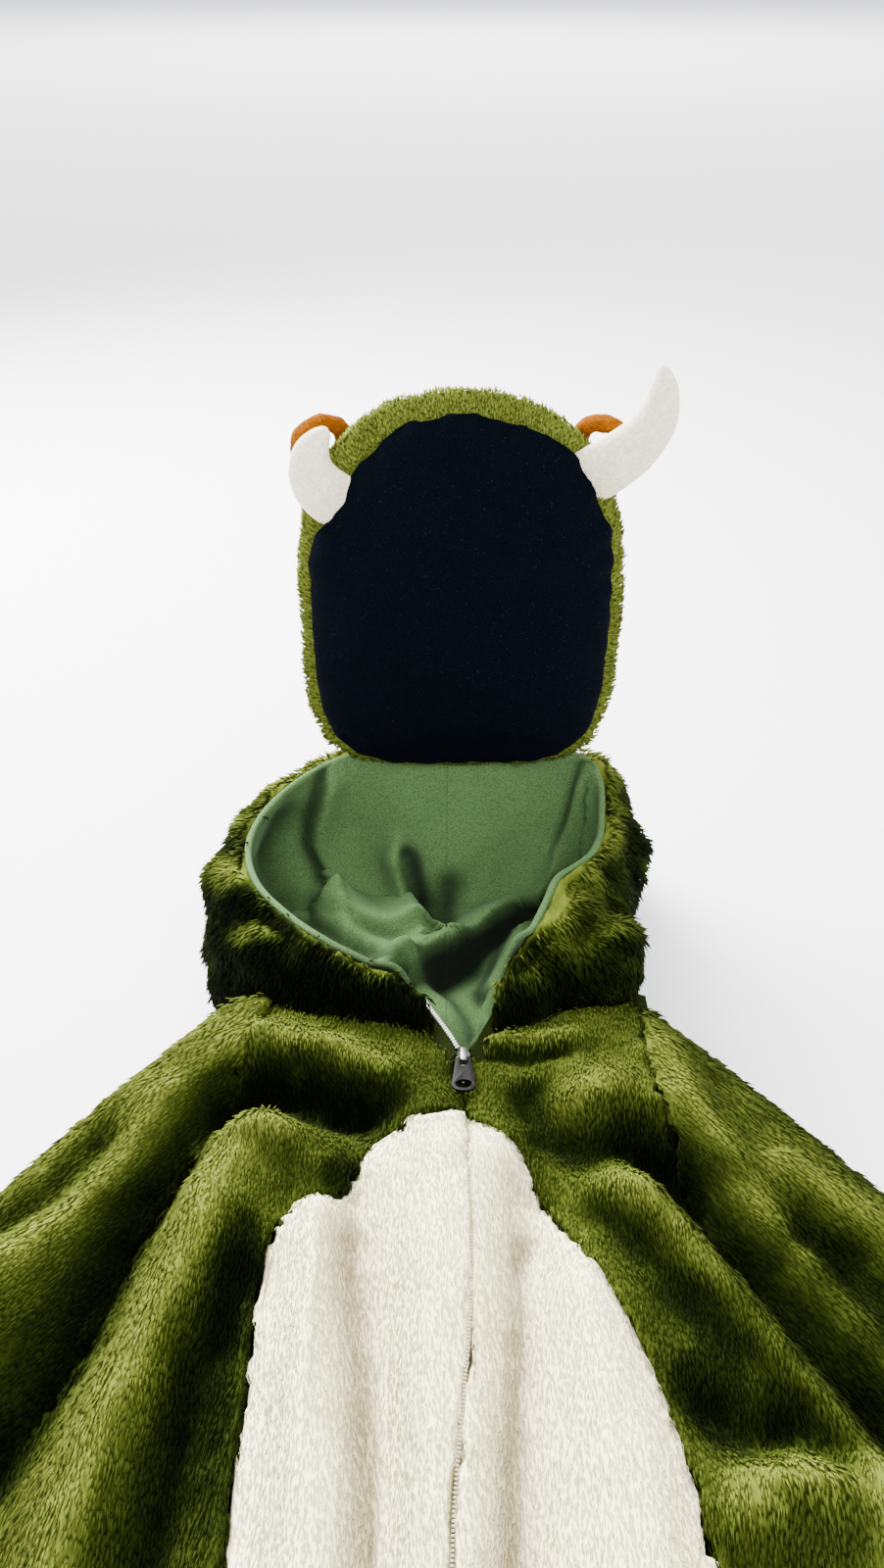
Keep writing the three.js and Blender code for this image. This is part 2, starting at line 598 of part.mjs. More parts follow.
const faceSize = { halfWidth: 90, tip: 111, base: 115, depth: SNOUT.faceDepth, towards: 1 };
const backSize = { halfWidth: 95, tip: 116, base: 116, depth: SNOUT.backDepth, towards: -1 };
const grown = (size) => ({
  ...size,
  halfWidth: size.halfWidth + SEAM,
  tip: size.tip + SEAM,
  base: size.base + SEAM,
  depth: size.depth + SEAM,
});
const snoutFace = snoutHalf(faceSize);
const snoutBack = snoutHalf(backSize);
const seamFill = snoutHalf({ ...grown(backSize), depth: SEAM, towards: 1 });
const roundSnout = snoutHalf(grown(faceSize)).add(snoutHalf(grown(backSize))).add(seamFill);

// Hood
const FULL_TURN = 360;
const hood = Object.fromEntries(
  ["rim", "rimZ", "bulge", "bulgeZ", "foot", "sag", "sagZ", "floor"].map((name) => [
    name,
    column(HOOD, "angle", name, FULL_TURN),
  ]),
);

function aroundHood(angle, reach, z) {
  const turn = THREE.MathUtils.degToRad(angle);
  return [HOOD_CENTRE.x + reach * Math.cos(turn), HOOD_CENTRE.y + reach * Math.sin(turn), z];
}

// The plush outside from the rim out over the bulge, down to the table and in to the middle.
function hoodOuter(angle, inset) {
  const upperSteps = 6;
  const lowerSteps = 4;
  const top = { r: hood.rim(angle), z: hood.rimZ(angle) - inset };
  const side = { r: hood.bulge(angle) - inset, z: hood.bulgeZ(angle) };
  const foot = hood.foot(angle) - inset / 2;
  const points = [];
  range(0, Math.PI / 2, upperSteps).forEach((a) => {
    const reach = top.r + (side.r - top.r) * Math.sin(a);
    const z = side.z + (top.z - side.z) * Math.cos(a);
    const [x, y] = aroundHood(angle, reach, z);
    points.push(aroundHood(angle, reach + Math.sin(a) * foldHeight([x, y], HOOD_FOLDS), z));
  });
  range(0, Math.PI / 2, lowerSteps).slice(1).forEach((a) => {
    const reach = foot + (side.r - foot) * Math.cos(a);
    points.push(aroundHood(angle, reach, inset + (side.z - inset) * (1 - Math.sin(a))));
  });
  points.push(aroundHood(angle, foot / 2, inset));
  points.push(aroundHood(angle, 0, inset));
  return points;
}

function bowl(profile, around, outside, inside) {
  const angles = range(0, FULL_TURN, around).slice(0, -1);
  const turned = (grid) => grid[0].map((_, i) => grid.map((row) => row[i]));
  return wall(
    turned(angles.map((angle) => profile(angle, outside))),
    turned(angles.map((angle) => profile(angle, inside))),
    true,
  );
}

// The lining's middle surface, from the rim down a sagging wall to the hood's floor.
function liningPath(angle) {
  const wallSteps = 9;
  const floorSteps = 3;
  const rim = { r: hood.rim(angle) - 3, z: hood.rimZ(angle) - 1 };
  const sag = { r: hood.sag(angle), z: hood.sagZ(angle) };
  const floor = { r: hood.floor(angle), z: LINING_FLOOR_Z };
  const path = range(0, 1, wallSteps).map((t) => [
    (1 - t) ** 2 * rim.r + 2 * t * (1 - t) * sag.r + t * t * floor.r,
    (1 - t) ** 2 * rim.z + 2 * t * (1 - t) * sag.z + t * t * floor.z,
  ]);
  range(floor.r, 0, floorSteps).slice(1).forEach((r) => path.push([r, floor.z]));
  return path.map(([reach, z]) => aroundHood(angle, reach, z));
}

// A round grid of points moved along its own normals, which point into the hollow.
function offset(grid, distance) {
  const columns = grid[0].length;
  const vector = (p) => new THREE.Vector3(...p);
  return grid.map((row, i) =>
    row.map((point, j) => {
      const along = vector(grid[Math.min(i + 1, grid.length - 1)][j]).sub(vector(grid[Math.max(i - 1, 0)][j]));
      const around = vector(row[(j + 1) % columns]).sub(vector(row[(j + columns - 1) % columns]));
      const normal = i === grid.length - 1 ? new THREE.Vector3(0, 0, 1) : along.cross(around).normalize().negate();
      return vector(point).addScaledVector(normal, distance(point, i)).toArray();
    }),
  );
}

function liningBowl(grow = 0) {
  const angles = range(0, FULL_TURN, LINING_AROUND).slice(0, -1);
  const paths = angles.map(liningPath);
  const base = paths[0].map((_, i) => paths.map((path) => path[i]));
  const folds = (point, i) => Math.min(1, i / 3) * foldHeight(point, LINING_FOLDS);
  const upper = offset(base, (p, i) => folds(p, i) + LINING / 2 + grow);
  const lower = offset(base, (p, i) => folds(p, i) - LINING / 2 - grow);
  return wall(upper, lower, true);
}

const zipGap = prism(
  [
    { x: -18, y: 30 },
    { x: 0, y: 3 },
    { x: 14, y: 22 },
    { x: 22, y: 70 },
    { x: -26, y: 70 },
  ],
  16,
  200,
);
const neckHole = block([-78, -60, PLUSH - 1 + SEAM], [76, 96, 42]);
const liningHole = block([-78, -60, 22], [76, 96, 42]);
const onTorso = underFront.subtract(aboveNeck(SEAM));
const underNeck = block([-300, -300, -10], [300, NECK_Y + SEAM, SIDE_SEAM_HEIGHT]);
const sleevesGrown = sleeve.left.add(sleeve.right);

const hoodShell = bowl(hoodOuter, HOOD_AROUND, 0, PLUSH)
  .subtract(onTorso)
  .subtract(underNeck)
  .subtract(neckHole)
  .subtract(zipGap)
  .subtract(liningBowl(SEAM))
  .subtract(roundSnout);
const liningShell = liningBowl()
  .subtract(onTorso)
  .subtract(liningHole)
  .subtract(zipGap)
  .subtract(roundSnout);
const hoodSeam = block([HOOD_CENTRE.x + 8 - SEAM / 2, -100, -10], [400, 500, 300]);
const hoodHalf = {
  left: hoodShell.subtract(hoodSeam),
  right: hoodShell.intersect(hoodSeam.translate([SEAM, 0, 0])),
};
const liningHalf = {
  left: liningShell.subtract(hoodSeam),
  right: liningShell.intersect(hoodSeam.translate([SEAM, 0, 0])),
};

// A padded tooth along a bent line, with flattened oval sections that end in a round tip.
const TOOTH = [
  { along: 0, width: 17.5, thick: 9 },
  { along: 0.25, width: 17.5, thick: 10 },
  { along: 0.5, width: 15, thick: 10 },
  { along: 0.75, width: 11.5, thick: 9 },
  { along: 0.92, width: 7.5, thick: 6.5 },
  { along: 1, width: 0, thick: 0 },
];
const TOOTH_LINES = {
  left: [[-64, 226, 264], [-72, 224, 269], [-81, 222, 277], [-85, 220, 290], [-81, 219, 304], [-75, 219, 315]],
  right: [[70, 225, 283], [79, 224, 288], [92, 222, 297], [104, 222, 311], [108, 222, 327], [102, 223, 347]],
};
function tooth(line) {
  const path = new THREE.CatmullRomCurve3(line.map((p) => new THREE.Vector3(...p)));
  const width = column(TOOTH, "along", "width");
  const thick = column(TOOTH, "along", "thick");
  const forward = new THREE.Vector3(0, -1, 0);
  const around = 12;
  const rings = [...range(0, 0.92, 9), 0.97, 1].map((t) => {
    const centre = path.getPoint(t);
    const side = new THREE.Vector3().crossVectors(path.getTangent(t), forward).normalize();
    return range(0, 2 * Math.PI, around).slice(0, -1).map((a) =>
      centre
        .clone()
        .addScaledVector(side, Math.cos(a) * width(t))
        .addScaledVector(forward, Math.sin(a) * thick(t))
        .toArray(),
    );
  });
  const root = rings[0].map(() => path.getPoint(0).toArray());
  return capped([root, ...rings]);
}

// A tube of rings closed at both ends: the first ring is a point, and so is the last.
function capped(rings) {
  const columns = rings[0].length;
  const triangles = [];
  for (let i = 0; i + 1 < rings.length; i++)
    for (let j = 0; j < columns; j++) {
      const next = (j + 1) % columns;
      const [a, b] = [i * columns + j, i * columns + next];
      const [c, d] = [b + columns, a + columns];
      triangles.push([a, b, c], [a, c, d]);
    }
  return solid(rings.flat(), triangles);
}

// A nostril is a puffy ring of cloth, drawn in a little at two gathers.
const NOSTRIL = { x: 76, y: 240.5, z: 298, ring: 13.3, puff: 4.9, tilt: 14, turn: -22 };
function nostril(side) {
  const around = 20;
  const section = 8;
  const rings = range(0, 2 * Math.PI, around).slice(0, -1).map((turn) => {
    const gather = 1 - 0.18 * Math.exp(-(((turn - 1.9) / 0.25) ** 2)) - 0.18 * Math.exp(-(((turn - 1.1) / 0.25) ** 2));
    const puff = NOSTRIL.puff * gather;
    return range(0, 2 * Math.PI, section).slice(0, -1).map((a) => {
      const reach = NOSTRIL.ring + puff * Math.cos(a);
      return [side * reach * Math.cos(turn), 1.25 * puff * Math.sin(a), reach * Math.sin(turn)];
    });
  });
  const triangles = [];
  const count = rings.length;
  for (let i = 0; i < count; i++)
    for (let j = 0; j < section; j++) {
      const [ni, nj] = [(i + 1) % count, (j + 1) % section];
      const [a, b] = [i * section + j, i * section + nj];
      const [c, d] = [ni * section + nj, ni * section + j];
      triangles.push([a, b, c], [a, c, d]);
    }
  return solid(rings.flat(), triangles)
    .rotate([NOSTRIL.tilt, 0, side * NOSTRIL.turn])
    .translate([side * NOSTRIL.x, NOSTRIL.y, NOSTRIL.z]);
}

const teeth = { left: tooth(TOOTH_LINES.left), right: tooth(TOOTH_LINES.right) };
const behindTeeth = teeth.left.add(teeth.right).translate([0, SEAM, 0]);
const nostrilOn = (side) => nostril(side).subtract(roundSnout).subtract(behindTeeth);

// Zip: the closed chain lies in its slot, its open ends run up the V, and the slider sits where they part.
const CHAIN = { half: 1.5, sunk: 1.6, thick: 3 };
const SLIDER = { half: 3.9, length: 9.5, thick: 2.6, y: 4.6 };
function chainBar(points, half, thick) {
  const rows = points.map((p, i) => {
    const before = points[Math.max(i - 1, 0)];
    const after = points[Math.min(i + 1, points.length - 1)];
    const dx = after[0] - before[0];
    const dy = after[1] - before[1];
    const length = Math.hypot(dx, dy);
    const [nx, ny] = [(-dy / length) * half, (dx / length) * half];
    return { left: [p[0] + nx, p[1] + ny], right: [p[0] - nx, p[1] - ny], z: p[2] };
  });
  const grid = (z) => rows.map((row) => [[...row.left, row.z + z], [...row.right, row.z + z]]);
  return wall(grid(0), grid(-thick));
}

const topAt = (x, y) => {
  const half = x < 0 ? torso.left(y) : torso.right(y);
  const share = x / half;
  return crown(share, torso.height(y), 0) + foldHeight([x, y], FOLDS);
};
const zipChain = chainBar(
  range(SLIDER.y - 2, ZIP_END_Y, 30).map((y) => [zipX(y), y, topAt(zipX(y), y) - CHAIN.sunk]),
  CHAIN.half,
  CHAIN.thick,
);
const openChain = (from, to, side) => {
  const away = side * (CHAIN.half + SEAM + 0.4);
  return chainBar(
    range(0, 1, 4).map((t) => {
      const x = from.x + (to.x - from.x) * t;
      const y = from.y + (to.y - from.y) * t;
      return [x - away, y, topAt(x, y) + 0.5];
    }),
    CHAIN.half,
    CHAIN.thick,
  );
};
const zipOpen = {
  left: openChain({ x: -6.2, y: 12.5 }, { x: -17, y: 29 }, -1),
  right: openChain({ x: 6.4, y: 11.5 }, { x: 13.6, y: 21.5 }, 1),
};

// Slider: a body with a raised bridge that the pull hooks under.
const sliderTop = topAt(0, SLIDER.y) + SLIDER.thick - CHAIN.sunk + SEAM;
function sliderSolid() {
  const shape = new THREE.Shape();
  shape.moveTo(-SLIDER.half * 0.7, -SLIDER.length / 2);
  shape.lineTo(SLIDER.half * 0.7, -SLIDER.length / 2);
  shape.lineTo(SLIDER.half, SLIDER.length / 2 - 1.5);
  shape.lineTo(SLIDER.half - 1, SLIDER.length / 2);
  shape.lineTo(-SLIDER.half + 1, SLIDER.length / 2);
  shape.lineTo(-SLIDER.half, SLIDER.length / 2 - 1.5);
  const body = fromGeometry(
    new THREE.ExtrudeGeometry(shape, { depth: SLIDER.thick, bevelEnabled: false }),
  ).translate([0, SLIDER.y, sliderTop - SLIDER.thick]);
  const bridge = block([-1.5, SLIDER.y - 4.4, sliderTop - 1], [1.5, SLIDER.y + 4, sliderTop + 4.2]);
  const window = block([-2, SLIDER.y - 3.2, sliderTop], [2, SLIDER.y + 2.6, sliderTop + 3.1]);
  return body.add(bridge.subtract(window));
}

// Pull: a tab that widens to its end, with an oval hole, and a window round the bridge.
const PULL = { length: 21, top: 3.9, end: 6, thick: 2, bar: 0.8 };
const pullPivot = { y: SLIDER.y - 1.9, z: sliderTop + 1.55 };
function pullSolid() {
  const shape = new THREE.Shape();
  shape.moveTo(-PULL.top, PULL.bar);
  shape.lineTo(-PULL.end, -PULL.length + 5);
  shape.quadraticCurveTo(-PULL.end, -PULL.length, 0, -PULL.length);
  shape.quadraticCurveTo(PULL.end, -PULL.length, PULL.end, -PULL.length + 5);
  shape.lineTo(PULL.top, PULL.bar);
  shape.closePath();
  const bridgeWindow = new THREE.Path();
  bridgeWindow.moveTo(-2.1, -PULL.bar);
  bridgeWindow.lineTo(2.1, -PULL.bar);
  bridgeWindow.lineTo(2.1, -5.4);
  bridgeWindow.lineTo(-2.1, -5.4);
  bridgeWindow.closePath();
  const hole = new THREE.Path();
  hole.absellipse(0, -PULL.length + 4.4, 4.2, 2.7, 0, 2 * Math.PI, true);
  shape.holes.push(bridgeWindow, hole);
  const geometry = new THREE.ExtrudeGeometry(shape, {
    depth: PULL.bar * 2,
    bevelEnabled: false,
    curveSegments: 10,
  });
  return fromGeometry(geometry).translate([0, pullPivot.y, pullPivot.z - PULL.bar]);
}

const pieces = [
  { name: "front_left", solid: front.left, material: "plush" },
  { name: "front_right", solid: front.right, material: "plush" },
  { name: "back", solid: back, material: "plush" },
  { name: "belly_left", solid: belly.left, material: "cream" },
  { name: "belly_right", solid: belly.right, material: "cream" },
  { name: "sleeve_left", solid: sleeve.left, material: "plush" },
  { name: "sleeve_right", solid: sleeve.right, material: "plush" },
  { name: "leg_left", solid: leg.left, material: "plush" },
  { name: "leg_right", solid: leg.right, material: "plush" },
  { name: "hood_left", solid: hoodHalf.left.subtract(sleevesGrown), material: "plush" },
  { name: "hood_right", solid: hoodHalf.right.subtract(sleevesGrown), material: "plush" },
  { name: "hood_lining_left", solid: liningHalf.left, material: "lining" },
  { name: "hood_lining_right", solid: liningHalf.right, material: "lining" },
  { name: "snout_face", solid: snoutFace, material: "face" },
  { name: "snout_back", solid: snoutBack, material: "plush" },
  { name: "tooth_left", solid: teeth.left.subtract(roundSnout), material: "tooth" },
  { name: "tooth_right", solid: teeth.right.subtract(roundSnout), material: "tooth" },
  { name: "nostril_left", solid: nostrilOn(-1), material: "nostril" },
  { name: "nostril_right", solid: nostrilOn(1), material: "nostril" },
  { name: "zip_chain", solid: zipChain, material: "tape" },
  { name: "zip_open_left", solid: zipOpen.left, material: "tape" },
  { name: "zip_open_right", solid: zipOpen.right, material: "tape" },
  { name: "zip_slider", solid: sliderSolid(), material: "metal" },
  { name: "zip_pull", solid: pullSolid(), material: "metal" },
];

function meshOf({ name, solid: shape, material }) {
  const { numProp, vertProperties, triVerts } = shape.getMesh();
  const points = [];
  for (let i = 0; i < vertProperties.length; i += numProp) points.push(...vertProperties.slice(i, i + 3));
  const geometry = new THREE.BufferGeometry()
    .setAttribute("position", new THREE.Float32BufferAttribute(points, 3))
    .setIndex([...triVerts]);
  geometry.computeVertexNormals();
  const mesh = new THREE.Mesh(geometry, new THREE.MeshStandardMaterial(MATERIALS[material]));
  mesh.name = name;
  return mesh;
}

// The part's origin is the middle of its base, on the table.
const onesie = new THREE.Group();
onesie.add(...pieces.map(meshOf));
const box = new THREE.Box3().setFromObject(onesie);
const middle = box.getCenter(new THREE.Vector3());
onesie.position.set(-middle.x, -middle.y, -box.min.z);

export default onesie;
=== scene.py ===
# %% [markdown]
# A toddler's crocodile onesie lies on its back on a table, with its hood open and its padded snout
# standing up at the far side. The solids of the garment come in as a fixed frame. Each piece of cloth
# is then dressed: a smooth base cloth, a pile of leaning locks, a soft hood lining with its own folds,
# a velour snout, fleece teeth, and a coil zip.

# %% Load the frame
import json
import math

import bmesh
import bpy
import numpy as np
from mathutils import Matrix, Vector, noise
from mathutils.bvhtree import BVHTree

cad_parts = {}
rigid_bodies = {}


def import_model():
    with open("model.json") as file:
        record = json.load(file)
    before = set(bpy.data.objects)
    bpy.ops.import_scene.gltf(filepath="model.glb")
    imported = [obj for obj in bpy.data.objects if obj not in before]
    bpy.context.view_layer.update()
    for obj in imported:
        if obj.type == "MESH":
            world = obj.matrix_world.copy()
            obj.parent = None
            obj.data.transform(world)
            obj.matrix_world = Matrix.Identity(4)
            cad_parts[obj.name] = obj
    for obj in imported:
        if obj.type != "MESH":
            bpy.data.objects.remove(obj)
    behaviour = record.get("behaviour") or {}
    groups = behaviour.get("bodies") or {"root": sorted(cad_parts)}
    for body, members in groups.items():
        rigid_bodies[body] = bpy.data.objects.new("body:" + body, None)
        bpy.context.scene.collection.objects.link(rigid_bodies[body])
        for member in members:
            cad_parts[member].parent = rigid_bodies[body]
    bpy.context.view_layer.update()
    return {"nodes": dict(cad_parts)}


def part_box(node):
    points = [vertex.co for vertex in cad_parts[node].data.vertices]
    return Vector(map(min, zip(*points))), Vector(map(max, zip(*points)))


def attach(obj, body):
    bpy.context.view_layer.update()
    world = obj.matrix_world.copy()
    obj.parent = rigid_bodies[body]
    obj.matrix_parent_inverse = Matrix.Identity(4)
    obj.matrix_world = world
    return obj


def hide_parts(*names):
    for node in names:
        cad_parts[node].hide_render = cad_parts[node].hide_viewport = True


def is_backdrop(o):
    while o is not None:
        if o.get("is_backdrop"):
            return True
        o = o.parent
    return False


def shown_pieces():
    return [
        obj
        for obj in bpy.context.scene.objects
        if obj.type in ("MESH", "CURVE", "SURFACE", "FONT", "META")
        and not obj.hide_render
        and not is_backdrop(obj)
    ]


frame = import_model()
scene = bpy.context.scene
MM = 0.001

# %% [markdown]
# The garment was drawn from its zip slider, in millimetres. The slider's own box tells where that
# point lies in the frame, so every later place can be given in the maker's numbers.

# %% Places counted from the zip slider
SLIDER_CENTRE_Y = 4.6
slider_low, slider_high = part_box("zip_slider")
slider_x = (slider_low[0] + slider_high[0]) / 2
slider_y = (slider_low[1] + slider_high[1]) / 2
ORIGIN = Vector((slider_x, slider_y - SLIDER_CENTRE_Y * MM, 0))


def placed(points):
    """Points in millimetres from the slider, as metres in the frame."""
    return np.asarray(points, float) * MM + np.array(ORIGIN)


def from_slider(points):
    """Points in metres in the frame, as millimetres from the slider."""
    return (np.asarray(points, float) - np.array(ORIGIN)) / MM


print("slider at", [round(v, 4) for v in ORIGIN])

# %% [markdown]
# The photographer stood at the feet and looked down over the belly at the snout, with a phone's wide
# lens. Blender takes a lens as its focal length on a sensor of a known width. The photograph gives the
# focal length in pixels, so its height in pixels turns the one into the other.

# %% Camera
CAMERA_PLACE = (-11, -411, 521)
CAMERA_PITCH = 35  # degrees down from level
SENSOR = 36  # mm
FOCAL_PIXELS = 1202
PHOTO_HEIGHT_PIXELS = 1600
NEAREST_SEEN = 0.02  # m


def link(name, data):
    """An object for that mesh, lamp or camera, in the scene."""
    obj = bpy.data.objects.new(name, data)
    scene.collection.objects.link(obj)
    return obj


camera = link("camera", bpy.data.cameras.new("camera"))
camera.data.sensor_width = SENSOR
camera.data.lens = FOCAL_PIXELS / PHOTO_HEIGHT_PIXELS * SENSOR
camera.data.clip_start = NEAREST_SEEN
camera.location = placed(CAMERA_PLACE)
camera.rotation_euler = (math.radians(90 - CAMERA_PITCH), 0, 0)
scene.camera = camera
print("lens:", round(camera.data.lens, 2), "mm")

# %% [markdown]
# The light comes from high behind the hood, so that the near side of each fold falls into shade.
# A weak light from the front and a pale sky keep the shade readable, and a large lamp far off makes
# the table go on pale towards the top of the picture.

# %% Light
LIGHTS = [
    {"name": "key_light", "place": (-700, 950, 1150), "aim": (0, 0, 30), "size": 0.9, "power": 165},
    {"name": "fill_light", "place": (400, -1300, 1600), "aim": (0, 0, 60), "size": 1.8, "power": 66},
    {"name": "far_light", "place": (0, 9500, 6000), "aim": (0, 9500, 0), "size": 8.0, "power": 2300},
]
SKY = {"Color": (0.93, 0.95, 1, 1), "Strength": 1.85}
for row in LIGHTS:
    lamp = link(row["name"], bpy.data.lights.new(row["name"], "AREA"))
    lamp.data.energy = row["power"]
    lamp.data.size = row["size"]
    lamp.location = placed(row["place"])
    aim = Vector(placed(row["aim"])) - lamp.location
    lamp.rotation_euler = aim.to_track_quat("-Z", "Y").to_euler()

sky = bpy.data.worlds.new("pale_sky")
sky.use_nodes = True
for title, value in SKY.items():
    sky.node_tree.nodes["Background"].inputs[title].default_value = value
scene.world = sky
print("lights:", [row["name"] for row in LIGHTS])

# %% [markdown]
# A material is a small graph of nodes. These helpers make one with a noise pattern in the object's
# own coordinates, so that it stays put when the view or a joint moves.

# %% Material helpers
WHITE = (1, 1, 1)
BLACK = (0, 0, 0)


def new_material(name, roughness, **constants):
    """A material whose constant sockets are set by name, such as Sheen_Weight."""
    material = bpy.data.materials.new(name)
    material.use_nodes = True
    shader = material.node_tree.nodes["Principled BSDF"]
    shader.inputs["Roughness"].default_value = roughness
    for key, value in constants.items():
        shader.inputs[key.replace("_", " ")].default_value = value
    return material, material.node_tree, shader


def add_node(tree, kind, **settings):
    """A node with each setting put on the input of that name, or else on the node itself."""
    node = tree.nodes.new(kind)
    for key, value in settings.items():
        if key in node.inputs:
            node.inputs[key].default_value = value
        else:
            setattr(node, key, value)
    return node


def feed(tree, entry, value):
    """Links another node's output to an input, or sets the input to a plain value."""
    if isinstance(value, bpy.types.NodeSocket):
        tree.links.new(value, entry)
    else:
        entry.default_value = value


def noise_of(tree, scale, detail=3.0, stretch=(1, 1, 1)):
    place = add_node(tree, "ShaderNodeTexCoord")
    shape = add_node(tree, "ShaderNodeMapping", Scale=stretch)
    pattern = add_node(tree, "ShaderNodeTexNoise", Scale=scale, Detail=detail)
    tree.links.new(place.outputs["Object"], shape.inputs["Vector"])
    tree.links.new(shape.outputs["Vector"], pattern.inputs["Vector"])
    return pattern.outputs["Fac"]


def ramp_of(tree, factor, stops):
    ramp = add_node(tree, "ShaderNodeValToRGB")
    elements = ramp.color_ramp.elements
    while len(elements) < len(stops):
        elements.new(0.5)
    for element, (at, colour) in zip(elements, stops):
        element.position = at
        element.color = (*colour, 1)
    tree.links.new(factor, ramp.inputs["Fac"])
    return ramp.outputs["Color"]


def blended(tree, a, b, factor, mode="MIX"):
    """Colour b laid over colour a. A colour is a node's output or three numbers."""
    mix = add_node(tree, "ShaderNodeMix", data_type="RGBA", blend_type=mode)
    feed(tree, mix.inputs["Factor"], factor)
    for number, colour in ((6, a), (7, b)):
        feed(tree, mix.inputs[number], (*colour, 1) if isinstance(colour, tuple) else colour)
    return mix.outputs[2]


def bumped(tree, shader, height, strength, distance):
    bump = add_node(tree, "ShaderNodeBump", Strength=strength, Distance=distance)
    tree.links.new(height, bump.inputs["Height"])
    tree.links.new(bump.outputs["Normal"], shader.inputs["Normal"])


def attribute_of(tree, name):
    return add_node(tree, "ShaderNodeAttribute", attribute_name=name).outputs["Fac"]


# %% [markdown]
# Plush is bright where its pile lies away from the eye and nearly black where the eye looks into it,
# and its folds are lit on their crests and shaded in their troughs. This light and shade is painted:
# one attribute, glow, is computed on the cloth from its folds and its slopes towards the
# light, and picks a colour from dark to bright. Each lock also darkens towards its root, which is
# painted shade deep in the pile, and differs a little from its neighbours. A lock is lit with the
# direction of the cloth under it, as dense pile is, and not of its own sides.

# %% Plush materials
# each ramp runs from painted shade at 0 to painted light at 1; root darkens a lock towards its base as
# painted shade
PLUSH = {
    "green": {
        "glow": [
            (0.0, (0.0024, 0.0046, 0.0007)),
            (0.3, (0.0135, 0.0215, 0.0024)),
            (0.6, (0.064, 0.086, 0.011)),
            (1.0, (0.19, 0.225, 0.034)),
        ],
        "root": (0.36, 0.38, 0.32),
        "each": (0.6, 0.63, 0.55),
        "bump": 0.7,
        "sheen": (0.6, 0.75, 0.12, 1),
        "sheen_weight": 0.02,
    },
    "cream": {
        "glow": [
            (0.0, (0.42, 0.35, 0.2)),
            (0.35, (0.71, 0.63, 0.41)),
            (0.65, (0.93, 0.85, 0.48)),
            (1.0, (0.99, 0.94, 0.55)),
        ],
        "root": (0.99, 0.985, 0.975),
        "each": (0.975, 0.97, 0.955),
        "bump": 0.1,
        "sheen": (1, 0.97, 0.9, 1),
        "sheen_weight": 0.1,
    },
}
STRANDS = 420  # scale of the pattern between the locks


def pile_material(name, colours):
    """The locks: painted light and shade picks the colour, tip and lock vary it, and shade turns the light.
    """
    material, tree, shader = new_material(
        name,
        0.95,
        Sheen_Weight=colours["sheen_weight"],
        Sheen_Roughness=0.4,
        Sheen_Tint=colours["sheen"],
        Specular_IOR_Level=0.03,
    )
    # painted light and shade picks the colour, and the tip ramp adds painted shade towards each lock's root
    plush = ramp_of(tree, attribute_of(tree, "glow"), colours["glow"])
    depth = ramp_of(tree, attribute_of(tree, "tip"), [(0.0, colours["root"]), (0.7, WHITE)])
    each = ramp_of(tree, attribute_of(tree, "lock"), [(0.0, colours["each"]), (1.0, WHITE)])
    darkened = blended(tree, plush, depth, 1.0, "MULTIPLY")
    varied = blended(tree, darkened, each, 1.0, "MULTIPLY")
    tree.links.new(varied, shader.inputs["Base Color"])
    toward = add_node(tree, "ShaderNodeAttribute", attribute_name="shade")
    tree.links.new(toward.outputs["Vector"], shader.inputs["Normal"])
    return material


def backing_material(name, colours):
    """The cloth under the locks, with the same painted light and shade and a pattern of strands."""
    material, tree, shader = new_material(
        name,
        0.97,
        Sheen_Weight=colours["sheen_weight"],
        Sheen_Tint=colours["sheen"],
        Specular_IOR_Level=0.02,
    )
    # the same painted light and shade as on the locks
    plush = ramp_of(tree, attribute_of(tree, "glow"), colours["glow"])
    strands = noise_of(tree, STRANDS, 3, (1, 0.35, 1))
    between = ramp_of(tree, strands, [(0.3, colours["root"]), (0.7, colours["each"])])
    shaded = blended(tree, plush, between, 0.9, "MULTIPLY")
    tree.links.new(shaded, shader.inputs["Base Color"])
    bumped(tree, shader, strands, colours["bump"], 0.0015)
    return material


pile_of = {key: pile_material(f"{key}_pile", row) for key, row in PLUSH.items()}
backing_of = {key: backing_material(f"{key}_backing", row) for key, row in PLUSH.items()}
print("plush:", sorted(pile_of))

# %% [markdown]
# The hood lining is brushed jersey: even, slightly fuzzy, with a faint lint. The underside of the jaw
# is velour, so dark that only its sheen shows its form. Teeth are white fleece, nostrils orange. All
# are one recipe with other colours: a fine grain, a broad unevenness, and for the lining a shade that
# is painted into its deep folds, where little light comes.

# %% Smooth cloth materials
UNEVEN = (0.86, 0.86, 0.86)
GRAIN_DEPTH = 0.0008  # m


